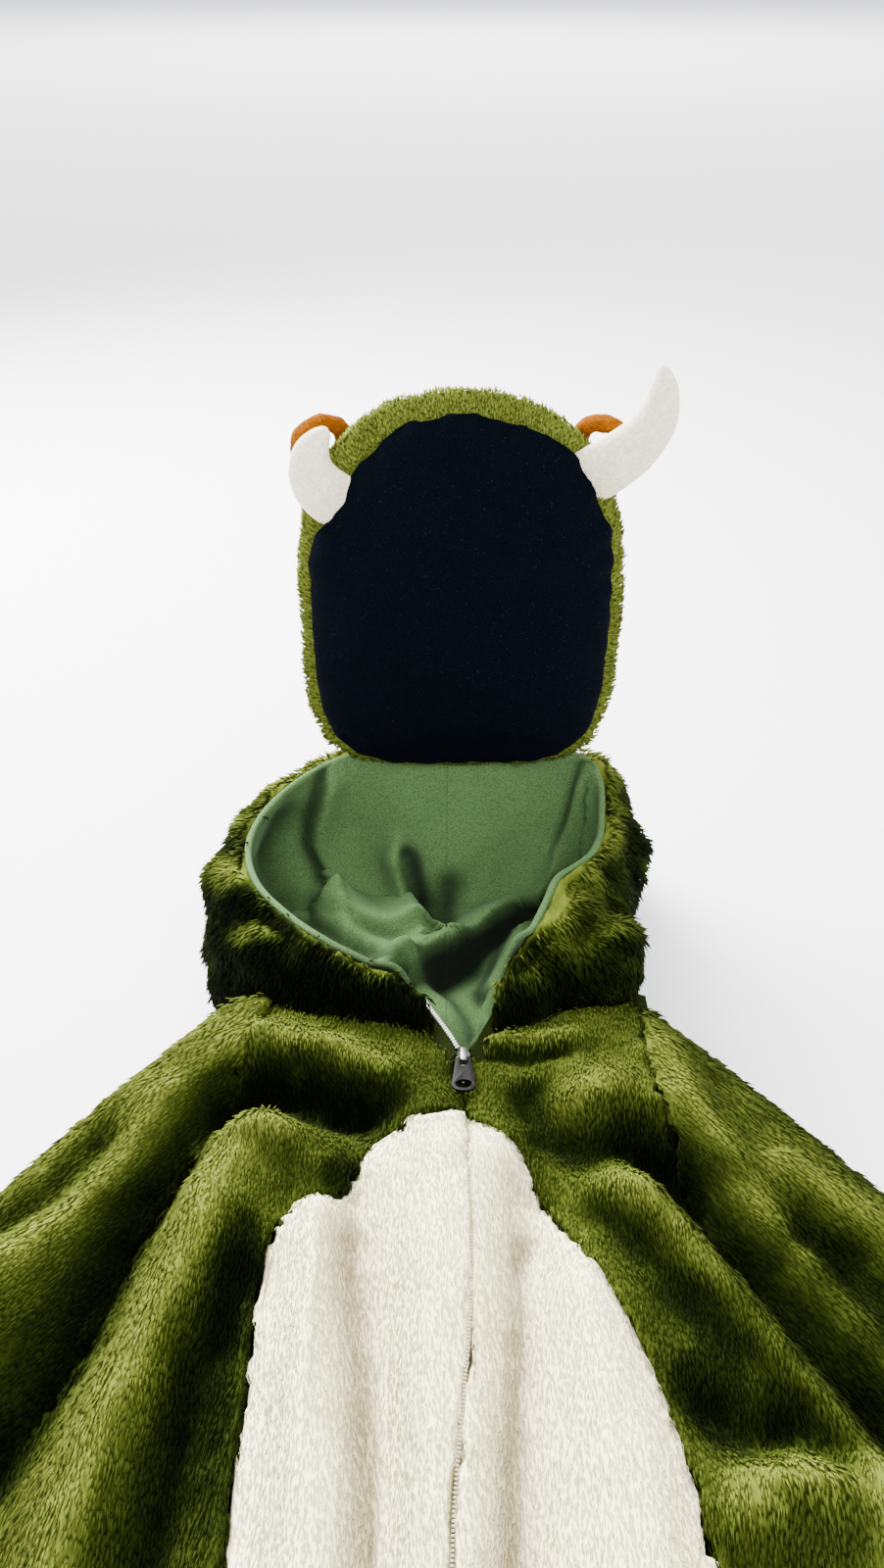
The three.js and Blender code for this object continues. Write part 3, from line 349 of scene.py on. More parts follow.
def cloth_material(
    name,
    dark,
    light,
    grain,
    sheen=0,
    sheen_tint=(1, 1, 1, 1),
    roughness=0.95,
    specular=0.15,
    bump=0.35,
    lint=0.0,
    hollow=None,
):
    """Smooth cloth. grain is a noise scale, and hollow names an attribute of painted shade in deep folds."""
    material, tree, shader = new_material(
        name,
        roughness,
        Sheen_Weight=sheen,
        Sheen_Roughness=0.45,
        Sheen_Tint=sheen_tint,
        Specular_IOR_Level=specular,
    )
    fine = noise_of(tree, grain, 3)
    broad = noise_of(tree, grain / 40, 2)
    base = ramp_of(tree, fine, [(0.3, dark), (0.72, light)])
    shaded = blended(tree, base, ramp_of(tree, broad, [(0.3, UNEVEN), (0.7, WHITE)]), 0.8, "MULTIPLY")
    if lint:
        specks = ramp_of(tree, noise_of(tree, grain * 0.9, 1), [(0.72, BLACK), (0.78, WHITE)])
        fluff = tuple(min(1, 6 * v + lint) for v in light)
        shaded = blended(tree, shaded, fluff, specks)
    if hollow:
        # painted shade in the deep folds, from none to nearly black
        deep = [(0.0, WHITE), (0.5, (0.3, 0.33, 0.3)), (0.9, (0.03, 0.04, 0.03))]
        shaded = blended(tree, shaded, ramp_of(tree, attribute_of(tree, hollow), deep), 1.0, "MULTIPLY")
    tree.links.new(shaded, shader.inputs["Base Color"])
    bumped(tree, shader, fine, bump, GRAIN_DEPTH)
    return material


lining_cloth = cloth_material(
    "lining_jersey",
    (0.027, 0.066, 0.018),
    (0.082, 0.148, 0.051),
    1100,
    sheen=0.06,
    sheen_tint=(0.6, 0.9, 0.6, 1),
    bump=0.6,
    hollow="hollow",
)
velour_cloth = cloth_material(
    "navy_velour",
    (0.0002, 0.0007, 0.0018),
    (0.0007, 0.0017, 0.004),
    1100,
    sheen=0.004,
    sheen_tint=(0.35, 0.5, 0.9, 1),
    lint=0.006,
    specular=0.03,
)
tooth_cloth = cloth_material("white_fleece", (0.7, 0.63, 0.44), (0.95, 0.9, 0.67), 520, sheen=0.05, bump=1.0)
nostril_cloth = cloth_material(
    "orange_fleece", (0.1, 0.026, 0.0), (0.2, 0.058, 0.001), 700, bump=0.6, specular=0.03
)

# %% [markdown]
# The zip is of three materials: die-cast metal with fine brush marks, a moulded plastic coil, and a
# dark woven tape. The coil in the belly is a darker, browner copy of the coil, which is painted shade,
# because it lies deep between two edges of pile.

# %% Zip materials
BRUSH_MARKS = {"scale": 700, "detail": 2, "stretch": (1, 8, 1)}


def metal_material(name, colour, roughness):
    material, tree, shader = new_material(name, roughness, Metallic=1.0)
    darker = tuple(0.75 * v for v in colour)
    brushed = ramp_of(tree, noise_of(tree, **BRUSH_MARKS), [(0.3, darker), (0.7, colour)])
    tree.links.new(brushed, shader.inputs["Base Color"])
    return material


slider_metal = metal_material("slider_nickel", (0.2, 0.195, 0.19), 0.34)
pull_metal = metal_material("pull_gunmetal", (0.016, 0.0155, 0.015), 0.45)
coil_plastic = cloth_material("zip_coil", (0.7, 0.69, 0.64), (0.85, 0.84, 0.8), 900, roughness=0.5)
# painted shade: the same coil, darker and browner, where it lies deep in the belly's pile
shaded_coil = cloth_material(
    "zip_coil_in_the_belly", (0.4, 0.33, 0.22), (0.55, 0.47, 0.34), 900, roughness=0.6
)
tape_cloth = cloth_material("zip_tape", (0.004, 0.007, 0.001), (0.014, 0.02, 0.003), 1200, specular=0.03)
print("materials:", len(bpy.data.materials))

# %% [markdown]
# The table is only a stage: a wide pale floor. Its edge lies beyond the top of the picture.

# %% Floor
FLOOR = 40.0  # m from the middle to each edge
floor_mesh = bpy.data.meshes.new("floor")
corners = [(-FLOOR, -FLOOR, 0), (FLOOR, -FLOOR, 0), (FLOOR, FLOOR, 0), (-FLOOR, FLOOR, 0)]
floor_mesh.from_pydata(corners, [], [(0, 1, 2, 3)])
floor = link("floor", floor_mesh)
floor_paint, floor_tree, floor_shader = new_material("pale_table", 0.7)
floor_shader.inputs["Base Color"].default_value = (0.87, 0.87, 0.88, 1)
floor.data.materials.append(floor_paint)
floor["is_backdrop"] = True
print("floor:", 2 * FLOOR, "m wide")

# %% [markdown]
# Every soft piece starts from a mesh that is merged, changed and settled, so these few helpers come
# first. A node's mesh is loose triangles, and a copy of it is merged before anything else is done.

# %% Mesh helpers
MERGED = 2e-6  # m within which corners become one


def reworked(mesh, step):
    """Runs one step of bmesh on a mesh."""
    work = bmesh.new()
    work.from_mesh(mesh)
    step(work)
    work.to_mesh(mesh)
    work.free()


def merged_copy(node, name):
    mesh = frame["nodes"][node].data.copy()
    mesh.name = name
    mesh.materials.clear()
    reworked(mesh, lambda work: bmesh.ops.remove_doubles(work, verts=work.verts, dist=MERGED))
    return link(name, mesh)


def settled(obj):
    """The object with its modifiers applied."""
    graph = bpy.context.evaluated_depsgraph_get()
    mesh = bpy.data.meshes.new_from_object(obj.evaluated_get(graph))
    mesh.name = obj.name
    obj.modifiers.clear()
    old, obj.data = obj.data, mesh
    bpy.data.meshes.remove(old)
    return obj


def evened(obj, cell, relax):
    """The object in even cells of that many millimetres, relaxed that many times."""
    remesh = obj.modifiers.new("even_cells", "REMESH")
    remesh.mode = "VOXEL"
    remesh.voxel_size = cell * MM
    smooth = obj.modifiers.new("relax", "SMOOTH")
    smooth.factor, smooth.iterations = 0.5, relax
    return settled(obj)


def smooth_shaded(mesh):
    mesh.polygons.foreach_set("use_smooth", [True] * len(mesh.polygons))


def coordinates(mesh):
    flat = np.empty(len(mesh.vertices) * 3)
    mesh.vertices.foreach_get("co", flat)
    return flat.reshape(-1, 3)


def normals_of(mesh):
    flat = np.empty(len(mesh.vertices) * 3)
    mesh.vertex_normals.foreach_get("vector", flat)
    return flat.reshape(-1, 3)


def move_to(mesh, points):
    mesh.vertices.foreach_set("co", np.asarray(points, float).ravel())
    mesh.update()


def unit(rows):
    """Rows of vectors, each of length one."""
    return rows / np.maximum(np.linalg.norm(rows, axis=1), 1e-6)[:, None]


def smooth_step(value, low, high):
    """0 below low, 1 above high, and a soft rise between."""
    t = np.clip((np.asarray(value, float) - low) / (high - low), 0, 1)
    return t * t * (3 - 2 * t)


SEED_STEP = (7.3, 3.1, 5.7)


def lumps(points, size, seed):
    """Soft noise from -1 to 1 at each point, with lumps of that size in metres."""
    shift = Vector([seed * step for step in SEED_STEP])
    return np.array([noise.noise(Vector(p) / size + shift) for p in points])


# %% [markdown]
# The main folds of the garment are in its solids. The cloth takes the same folds a little further,
# with sharper crests, and adds the small ones. A fold is a line on the garment as laid, a width and
# a height, and a height below nought is a trough. Cloth simulation would lay folds of its own, so
# moving the points is the way to have them where the photograph has them.

# %% Folds of the body
FOLDS = [
    {"name": "left chest ridge", "width": 11, "height": 7, "line": [(-108, 20), (-67, 6), (-40, -10)]},
    {"name": "left chest hollow", "width": 15, "height": -9,
     "line": [(-104, -6), (-72, -18), (-50, -26)]},
    {"name": "left side ridge", "width": 10, "height": 7, "line": [(-122, -40), (-100, -40), (-86, -50)]},
    {"name": "left lobe", "width": 17, "height": 7,
     "line": [(-116, -66), (-121, -106), (-129, -150), (-142, -195), (-152, -250)]},
    {"name": "left lobe trough", "width": 11, "height": -8,
     "line": [(-100, -120), (-108, -150), (-110, -196), (-116, -240)]},
    {"name": "left belly edge trough", "width": 7, "height": -5,
     "line": [(-97, -98), (-97, -160), (-96, -220), (-98, -290)]},
    {"name": "left raglan trough", "width": 13, "height": -9,
     "line": [(-120, -20), (-138, -56), (-151, -83), (-166, -137), (-188, -184)]},
    {"name": "belly left bulge", "width": 15, "height": 5,
     "line": [(-64, -96), (-67, -141), (-62, -183), (-54, -250)]},
    {"name": "placket left valley", "width": 11, "height": -6,
     "line": [(-48, -100), (-41, -140), (-33, -200), (-28, -270)]},
    {"name": "placket", "width": 12, "height": 4,
     "line": [(-14, -60), (-18, -150), (-24, -230), (-22, -310)]},
    {"name": "placket right", "width": 9, "height": 4,
     "line": [(11, -60), (10, -150), (3, -230), (6, -310)]},
    {"name": "placket right valley", "width": 9, "height": -6,
     "line": [(27, -104), (25, -140), (21, -190), (18, -270)]},
    {"name": "belly right bulge", "width": 17, "height": 4,
     "line": [(46, -128), (54, -165), (60, -210), (60, -270)]},
    {"name": "right chest dome", "width": 15, "height": 8, "line": [(58, -27), (75, -20), (88, -34)]},
    {"name": "right chest crescent", "width": 11, "height": -6,
     "line": [(36, -18), (42, -42), (62, -58)]},
    {"name": "right raglan trough", "width": 14, "height": -9,
     "line": [(84, -42), (104, -68), (121, -104), (145, -148), (176, -180)]},
    {"name": "right side ridge", "width": 12, "height": 7,
     "line": [(70, -66), (100, -108), (123, -137), (140, -162), (158, -200), (162, -270)]},
    {"name": "right side crease", "width": 9, "height": -5, "line": [(60, -84), (88, -124), (110, -150)]},
    {"name": "right shoulder ridge", "width": 11, "height": 6,
     "line": [(104, 10), (112, -32), (128, -72), (150, -104)]},
    {"name": "right hip crescent", "width": 12, "height": -7,
     "line": [(98, -172), (112, -186), (128, -178), (143, -186)]},
    {"name": "right hip bump", "width": 12, "height": 7, "line": [(104, -210), (119, -199), (131, -206)]},
    {"name": "right sleeve tuck", "width": 13, "height": -8,
     "line": [(152, -92), (172, -104), (190, -132)]},
    {"name": "right sleeve crest", "width": 11, "height": 6,
     "line": [(150, -60), (178, -84), (206, -112)]},
    {"name": "left sleeve tuck", "width": 13, "height": -7,
     "line": [(-178, -40), (-196, -70), (-222, -84)]},
    {"name": "left sleeve crest", "width": 12, "height": 6,
     "line": [(-150, -16), (-176, -66), (-204, -108)]},
    {"name": "left elbow ridge", "width": 13, "height": 6,
     "line": [(-205, -118), (-232, -128), (-262, -118)]},
    {"name": "right collar tuck", "width": 6, "height": -4, "line": [(16, 10), (34, 6), (52, 12)]},
    {"name": "right collar ridge", "width": 7, "height": 4, "line": [(14, 22), (36, 18), (60, 24)]},
]
ON_THE_BODY = ("front", "belly", "sleeve", "leg")


def flat_distance(points, line):
    """How far each point is from a line of straight stretches, seen from above."""
    best = np.full(len(points), np.inf)
    for a, b in zip(np.array(line[:-1], float), np.array(line[1:], float)):
        t = np.clip((points[:, :2] - a) @ (b - a) / np.dot(b - a, b - a), 0, 1)
        best = np.minimum(best, np.linalg.norm(points[:, :2] - a - t[:, None] * (b - a), axis=1))
    return best


def fold_field(points):
    """How far up all the folds together lift each point, in millimetres."""
    total = np.zeros(len(points))
    for fold in FOLDS:
        total += fold["height"] * np.exp(-((flat_distance(points, fold["line"]) / fold["width"]) ** 2))
    return total


print("folds of the body:", len(FOLDS))

# %% [markdown]
# Below the slider the zip is hidden by the edges of the plush, which meet over the coil. So a line is
# drawn through the middle of the closed zip, and the cloth beside it is stretched towards that line
# until its edges stand as far from it as the photograph shows. Low on the belly they part a little.

# %% Cloth beside the zip
LINE_CURVE = 7  # degree of the smooth curve through a long strip
ZIP_ROWS = 31
ZIP_TOP_Y = -16  # above it the slider needs the room
ZIP_REACH = 16  # mm to each side in which the cloth is moved
ZIP_HALF_SLOT = 3.6  # mm within which every point goes to the edge of the slot
ZIP_UNDER = 8  # mm below the zip's top, under which the cloth stays
ZIP_DIP = {"depth": 2.2, "width": 3.0}
ZIP_CROSSING = {-200: 0.5, -150: -0.9}  # at each y, how far a plush edge ends from the line, or past it


def centre_line(node, rows):
    """The line through the middle of a strip's cross sections, along its top."""
    points = coordinates(frame["nodes"][node].data)
    points = np.unique(np.round(points, 6), axis=0)
    order = np.argsort(points[:, 1])
    groups = np.array_split(points[order], rows)
    line = np.array([[*g[:, :2].mean(axis=0), g[:, 2].max()] for g in groups])
    middle = points[:, 1].mean()
    curve = np.polyfit(points[:, 1] - middle, points[:, 0], LINE_CURVE)
    line[:, 0] = np.polyval(curve, line[:, 1] - middle)
    return line


CHAIN_LINE = centre_line("zip_chain", ZIP_ROWS)
ZIP_LINE = from_slider(CHAIN_LINE)


def closed_over_zip(points):
    """Moves the cloth beside the zip so that its edges meet over the coil."""
    zip_x = np.interp(points[:, 1], ZIP_LINE[:, 1], ZIP_LINE[:, 0])
    zip_z = np.interp(points[:, 1], ZIP_LINE[:, 1], ZIP_LINE[:, 2])
    beside = points[:, 0] - zip_x
    reach = np.abs(beside)
    near = (reach < ZIP_REACH) & (points[:, 1] < ZIP_TOP_Y) & (points[:, 2] > zip_z - ZIP_UNDER)
    crossing = np.interp(points[:, 1], list(ZIP_CROSSING), list(ZIP_CROSSING.values()))
    closed = crossing + (reach - ZIP_HALF_SLOT) * (ZIP_REACH - crossing) / (ZIP_REACH - ZIP_HALF_SLOT)
    points[near, 0] = (zip_x + np.sign(beside) * np.maximum(closed, crossing))[near]
    points[near, 2] -= (ZIP_DIP["depth"] * np.exp(-((reach / ZIP_DIP["width"]) ** 2)))[near]


FOLDED_FROM = (14, 34)  # mm above the table, between which the folds come in


def folded(node, points):
    """The cloth of the body with its folds, in millimetres. Other cloth stays as it is."""
    points = points.copy()
    if node.startswith(ON_THE_BODY):
        points[:, 2] += fold_field(points) * smooth_step(points[:, 2], *FOLDED_FROM)
    if node.startswith(("front", "belly")):
        closed_over_zip(points)
    return points


print("closed zip:", round(ZIP_LINE[-1, 1] - ZIP_LINE[0, 1]), "mm long")

# %% [markdown]
# Every piece of plush starts from its solid. The solid is faceted, so a copy is laid in small even
# cells by a voxel remesh and relaxed. Relaxing rounds the cut edges off, so they go back to their
# place. The surface is then drawn in a little, which leaves room for the pile to end where the solid
# does. The solids stand apart at each seam, and the cut edges are let out by a millimetre and a half.

# %% Base cloth
CELL = 4.0  # mm
RELAX = 5
INSET = 1.2  # mm
KEPT_SHARP = (0.5, 1.4)  # mm lost in relaxing, from which a cut edge goes back to its place
MOVED_RISE = (0.25, 0.6)  # how far a normal points up, between which lumps and inset come in
WALL_RISE = 0.8  # counted as that rise on the standing walls of the hood and snout
LUMPS = [{"size": 0.024, "high": 1.1, "seed": 0}, {"size": 0.011, "high": 0.5, "seed": 5}]
HOOD_LUMP = {"size": 0.03, "high": 11.0, "seed": 9}
FLAT_UNDER = 0.004  # m above the table, under which there are no lumps
SEAM_OVERLAP = 1.5  # mm by which a cut edge is let out
HOOD_SEAM = (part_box("hood_left")[1][0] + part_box("hood_right")[0][0]) / 2
NEAR_HOOD_SEAM = 0.006  # m


def let_out(node, points, normals):
    """Moves the cut edges of the body outwards, and those of the hood's halves past each other."""
    if node.startswith(ON_THE_BODY):
        cut_edge = 1 - smooth_step(np.abs(normals[:, 2]), 0.35, 0.75)
        points[:, :2] += normals[:, :2] * (SEAM_OVERLAP * cut_edge * MM)[:, None]
    if node.startswith("hood"):
        at_seam = np.abs(points[:, 0] - HOOD_SEAM) < NEAR_HOOD_SEAM
        cut_edge = smooth_step(np.abs(normals[:, 0]), 0.5, 0.9) * at_seam
        points[:, 0] += normals[:, 0] * SEAM_OVERLAP * cut_edge * MM


def base_cloth(node, inset, seed):
    obj = merged_copy(node, node + "_cloth")
    solid = BVHTree.FromObject(obj, bpy.context.evaluated_depsgraph_get())
    evened(obj, CELL, RELAX)
    points, normals = coordinates(obj.data), normals_of(obj.data)
    nearest = np.array([solid.find_nearest(Vector(p))[0] for p in points])
    lost = np.linalg.norm(nearest - points, axis=1) / MM
    points += (nearest - points) * smooth_step(lost, *KEPT_SHARP)[:, None]
    outside, _ = outside_and_nap(node, from_slider(points), normals)
    rise = np.maximum(normals[:, 2], WALL_RISE if node.startswith(("hood", "snout")) else 0)
    moved = outside * smooth_step(rise, *MOVED_RISE)
    wave = np.zeros(len(points))
    for row in LUMPS + ([HOOD_LUMP] if node.startswith("hood") else []):
        wave += lumps(points, row["size"], seed + row["seed"]) * row["high"]
    wave[points[:, 2] < FLAT_UNDER] = 0
    points = points + normals * ((wave - inset) * moved * MM)[:, None]
    let_out(node, points, normals)
    points = placed(folded(node, from_slider(points)))
    points[:, 2] = np.maximum(points[:, 2], 0)
    move_to(obj.data, points)
    smooth_shaded(obj.data)
    return obj


# %% [markdown]
# Real pile shines by the way it lies, which locks can't do by themselves when they are so much fewer
# than real hairs. So light and shade are painted into the colour: crests, and slopes towards the
# light, get painted light, and troughs get painted shade. Two slow noises add the patches that a hand
# leaves in plush.

# %% Painted light and shade of the plush
# the way from which the painted light comes: slopes facing it are painted bright
LIGHTEST_WAY = np.array([-0.45, 0.72, 0.53])
SLOPE_SPAN = (-0.25, 0.95)
MIDDLE_SLOPE = 0.52
CUT_EDGE_UP = 0.45  # a normal that points up by less than this is a cut edge's
CUT_EDGE_PAINTED_LIGHT = 0.4
SLEEVE_PAINTED_LIGHT = 0.26
BODY_PAINTED_LIGHT = 0.17
LEFT_SIDE_PAINTED_LIGHT = 0.1  # more on the left, beyond the belly


def hood_painted_shading(points, normals, slope, patches):
    # painted shade on the left where the hood faces the feet, painted light along the top of the rim and on
    # the right, painted shade on the left side, and random clumps
    shaded = 0.4 * smooth_step(-normals[:, 1], 0.0, 0.6) * smooth_step(-points[:, 0], -40, 40)
    rim = 0.32 * smooth_step(points[:, 2], 68, 98)
    clumps = 0.42 * lumps(points * MM, 0.014, 6)
    sides = 0.15 * smooth_step(points[:, 0], 40, 90) - 0.08 * smooth_step(-points[:, 0], 40, 90)
    return 0.07 + 0.62 * slope + rim - shaded + sides + patches + clumps


def body_painted_shading(node, points, normals, slope, patches):
    # painted light by slope, on cut edges and on fold crests, painted shade in troughs, and more painted
    # light on the left
    own = SLEEVE_PAINTED_LIGHT if node.startswith("sleeve") else BODY_PAINTED_LIGHT
    own += LEFT_SIDE_PAINTED_LIGHT * smooth_step(-points[:, 0], 80, 110)
    slope = np.where(np.abs(normals[:, 2]) < CUT_EDGE_UP, np.maximum(slope, CUT_EDGE_PAINTED_LIGHT), slope)
    return own + 0.52 * slope + fold_field(points) / 19 + 1.3 * patches


def painted_shading_of(node, points, normals):
    """The painted light and shade of the pile at each point, from 0 for shade to 1 for light."""
    slope = smooth_step(normals @ LIGHTEST_WAY, *SLOPE_SPAN)
    patches = lumps(points * MM, 0.03, 2) * 0.1 + lumps(points * MM, 0.009, 4) * 0.08
    # painted light on slopes towards the light and on crests, painted shade in troughs; the jaw's back is
    # painted lighter where it faces up
    if node.startswith("belly"):
        glow = 0.64 + 1.05 * (slope - MIDDLE_SLOPE) + fold_field(points) / 10 + patches * 0.7
    elif node.startswith("snout"):
        glow = 0.92 + 0.3 * (normals[:, 1] * 0.2 + normals[:, 2] * 0.5) + patches
    elif node.startswith("hood"):
        glow = hood_painted_shading(points, normals, slope, patches)
    elif node.startswith(ON_THE_BODY):
        glow = body_painted_shading(node, points, normals, slope, patches)
    else:
        glow = 0.1 + 0.7 * slope + patches
    return np.clip(glow, 0, 1)


# %% [markdown]
# A lock of pile is a thin spindle of six triangles that leans and bends with the nap: a root, three
# points round its thickest place, and a tip. One lock is drawn here about a metre long, so that the
# tree's scale is a lock's length in metres. It bends towards +X, and an attribute says how far along
# it each point lies. It has so few faces because it is set nearly a hundred thousand times.

# %% One lock
LOCK_ROOT = {"height": 0.0, "out": 0.0, "along": 0.1}
LOCK_MIDDLE = {"height": 0.46, "out": 0.08, "radius": 0.105, "along": 0.55}
LOCK_TIP = {"height": 0.96, "out": 0.34, "along": 1.0}
LOCK_SIDES = 3
LOCK_TWIST = 0.3  # radians
LOCK_FACES = 2 * LOCK_SIDES


def lock_object(name):
    verts = [(LOCK_ROOT["out"], 0, LOCK_ROOT["height"])]
    for side in range(LOCK_SIDES):
        turn = math.tau * side / LOCK_SIDES + LOCK_TWIST
        reach = LOCK_MIDDLE["radius"]
        out = LOCK_MIDDLE["out"] + reach * math.cos(turn)
        verts.append((out, reach * math.sin(turn), LOCK_MIDDLE["height"]))
    verts.append((LOCK_TIP["out"], 0, LOCK_TIP["height"]))
    along = [LOCK_ROOT["along"]] + [LOCK_MIDDLE["along"]] * LOCK_SIDES + [LOCK_TIP["along"]]
    faces = []
    for side in range(LOCK_SIDES):
        here, after = 1 + side, 1 + (side + 1) % LOCK_SIDES
        faces.append((0, after, here))
        faces.append((here, after, 1 + LOCK_SIDES))
    mesh = bpy.data.meshes.new(name)
    mesh.from_pydata(verts, [], faces)
    mesh.attributes.new("tip", "FLOAT", "POINT").data.foreach_set("value", along)
    smooth_shaded(mesh)
    obj = link(name, mesh)
    obj.hide_render = True
    return obj


lock = lock_object("lock_of_pile")
print("one lock:", len(lock.data.polygons), "faces")

# %% [markdown]
# A tree of Geometry Nodes is built link by link. These helpers add a node and feed it in one line, and
# do what the two trees of this garment share: named inputs, a copy set at every point and turned with
# its surface, and the end, where the copies become a real mesh and get their material.

# %% Tree helpers
def new_tree(name, inputs):
    """An empty tree with a geometry input and output, and its own inputs by title, kind and value."""
    tree = bpy.data.node_groups.new(name, "GeometryNodeTree")
    tree.interface.new_socket("Geometry", in_out="INPUT", socket_type="NodeSocketGeometry")
    tree.interface.new_socket("Geometry", in_out="OUTPUT", socket_type="NodeSocketGeometry")
    for title, kind, value in inputs:
        item = tree.interface.new_socket(title, in_out="INPUT", socket_type="NodeSocket" + kind)
        if value is not None:
            item.default_value = value
    return tree, tree.nodes.new("NodeGroupInput"), tree.nodes.new("NodeGroupOutput")


def math_node(tree, operation, *values):
    node = add_node(tree, "ShaderNodeMath", operation=operation)
    for entry, value in zip(node.inputs, values):
        feed(tree, entry, value)
    return node.outputs[0]


def vector_node(tree, operation, *values, scale=None):
    node = add_node(tree, "ShaderNodeVectorMath", operation=operation)
    for entry, value in zip(node.inputs, values):
        feed(tree, entry, value)
    if scale is not None:
        feed(tree, node.inputs["Scale"], scale)
    return node.outputs["Value" if operation == "DOT_PRODUCT" else 0]


def named(tree, name, kind):
    node = add_node(tree, "GeometryNodeInputNamedAttribute", data_type=kind, Name=name)
    return node.outputs["Attribute"]


def random_value(tree, low, high, seed):
    node = add_node(tree, "FunctionNodeRandomValue", data_type="FLOAT", Seed=seed)
    node.inputs[2].default_value = low
    node.inputs[3].default_value = high
    return node.outputs[1]


def stored(tree, geometry, title, kind, domain, value):
    """Keeps a value on the geometry under a title, for a material to read."""
    node = add_node(tree, "GeometryNodeStoreNamedAttribute", data_type=kind, domain=domain, Name=title)
    tree.links.new(geometry, node.inputs["Geometry"])
    tree.links.new(value, node.inputs["Value"])
    return node.outputs["Geometry"]


def copies(tree, points, shape, axes, first, second):
    """A copy of the shape at each point. Its first axis lies along one vector, its second near another."""
    turn = add_node(tree, "FunctionNodeAxesToRotation", primary_axis=axes[0], secondary_axis=axes[1])
    feed(tree, turn.inputs[0], first)
    feed(tree, turn.inputs[1], second)
    one = tree.nodes.new("GeometryNodeObjectInfo")
    feed(tree, one.inputs["Object"], shape)
    plant = tree.nodes.new("GeometryNodeInstanceOnPoints")
    tree.links.new(points, plant.inputs["Points"])
    tree.links.new(one.outputs["Geometry"], plant.inputs["Instance"])
    tree.links.new(turn.outputs[0], plant.inputs["Rotation"])
    return plant


def made_real(tree, geometry, material, result):
    real = tree.nodes.new("GeometryNodeRealizeInstances")
    tree.links.new(geometry, real.inputs["Geometry"])
    dress = tree.nodes.new("GeometryNodeSetMaterial")
    tree.links.new(real.outputs["Geometry"], dress.inputs["Geometry"])
    tree.links.new(material, dress.inputs["Material"])
    tree.links.new(dress.outputs["Geometry"], result.inputs["Geometry"])


def set_inputs(modifier, **values):
    """Sets a tree's inputs by name. The modifier knows them by identifier."""
    for item in modifier.node_group.interface.items_tree:
        if item.item_type == "SOCKET" and item.in_out == "INPUT" and item.name in values:
            modifier[item.identifier] = values[item.name]


# %% [markdown]
# Geometry Nodes plant the pile. Points are strewn over the cloth by a density painted on it, and each
# gets a lock that leans away from the surface towards the nap. A slow noise turns neighbours the same
# way, which draws the pile into tufts as a hand does. Hair curves would do the same, but the part has
# to leave Blender as plain meshes, and locks are meshes from the start.

# %% The pile tree
PILE_INPUTS = [
    ("Locks per square metre", "Float", 250000.0),
    ("Length", "Float", 0.008),
    ("Width", "Float", 1.0),
    ("Lean", "Float", 1.6),
    ("Tuft", "Float", 1.1),
    ("Seed", "Int", 7),
    ("Pile", "Material", None),
]
TUFT_SCALE = 75.0
TUFT_STRENGTH = 2.4
LOOSE = 0.7  # how far a single lock strays
LEAST_LIFT = 0.34  # how far each lock stands off the cloth at least
LENGTHS = (0.72, 1.12)
SHADE_FROM_CLOTH = 1.6  # how much the cloth's direction counts beside the lock's own
HALF = (0.5, 0.5, 0.5)


def lock_direction(tree, sizes, nap, upright):
    """The way each lock points: with the nap, turned by its tuft and a little of its own."""
    place = add_node(tree, "GeometryNodeInputPosition").outputs[0]
    tuft = add_node(tree, "ShaderNodeTexNoise", Scale=TUFT_SCALE, Detail=2.0)
    tree.links.new(place, tuft.inputs["Vector"])
    strength = math_node(tree, "MULTIPLY", sizes["Tuft"], TUFT_STRENGTH)
    centred = vector_node(tree, "SUBTRACT", tuft.outputs["Color"], HALF)
    swirl = vector_node(tree, "SCALE", centred, scale=strength)
    leaning = vector_node(tree, "SCALE", nap, scale=sizes["Lean"])
    wanted = vector_node(tree, "ADD", vector_node(tree, "ADD", leaning, upright), swirl)
    chance = add_node(tree, "FunctionNodeRandomValue", data_type="FLOAT_VECTOR").outputs[0]
    loose = vector_node(tree, "SCALE", vector_node(tree, "SUBTRACT", chance, HALF), scale=LOOSE)
    wanted = vector_node(tree, "NORMALIZE", vector_node(tree, "ADD", wanted, loose))
    rise = vector_node(tree, "DOT_PRODUCT", wanted, upright)
    lift = math_node(tree, "MAXIMUM", math_node(tree, "SUBTRACT", LEAST_LIFT, rise), 0.0)
    lifted = vector_node(tree, "ADD", wanted, vector_node(tree, "SCALE", upright, scale=lift))
    return vector_node(tree, "NORMALIZE", lifted)


def lock_size(tree, sizes):
    """Thickness across and length along, each with its share painted on the cloth."""
    stretch = math_node(tree, "MULTIPLY", sizes["Length"], random_value(tree, *LENGTHS, 3))
    stretch = math_node(tree, "MULTIPLY", stretch, named(tree, "length", "FLOAT"))
    thick = math_node(tree, "MULTIPLY", sizes["Length"], sizes["Width"])
    thick = math_node(tree, "MULTIPLY", thick, named(tree, "broad", "FLOAT"))
    size = tree.nodes.new("ShaderNodeCombineXYZ")
    for axis, value in (("X", thick), ("Y", thick), ("Z", stretch)):
        tree.links.new(value, size.inputs[axis])
    return size.outputs[0]


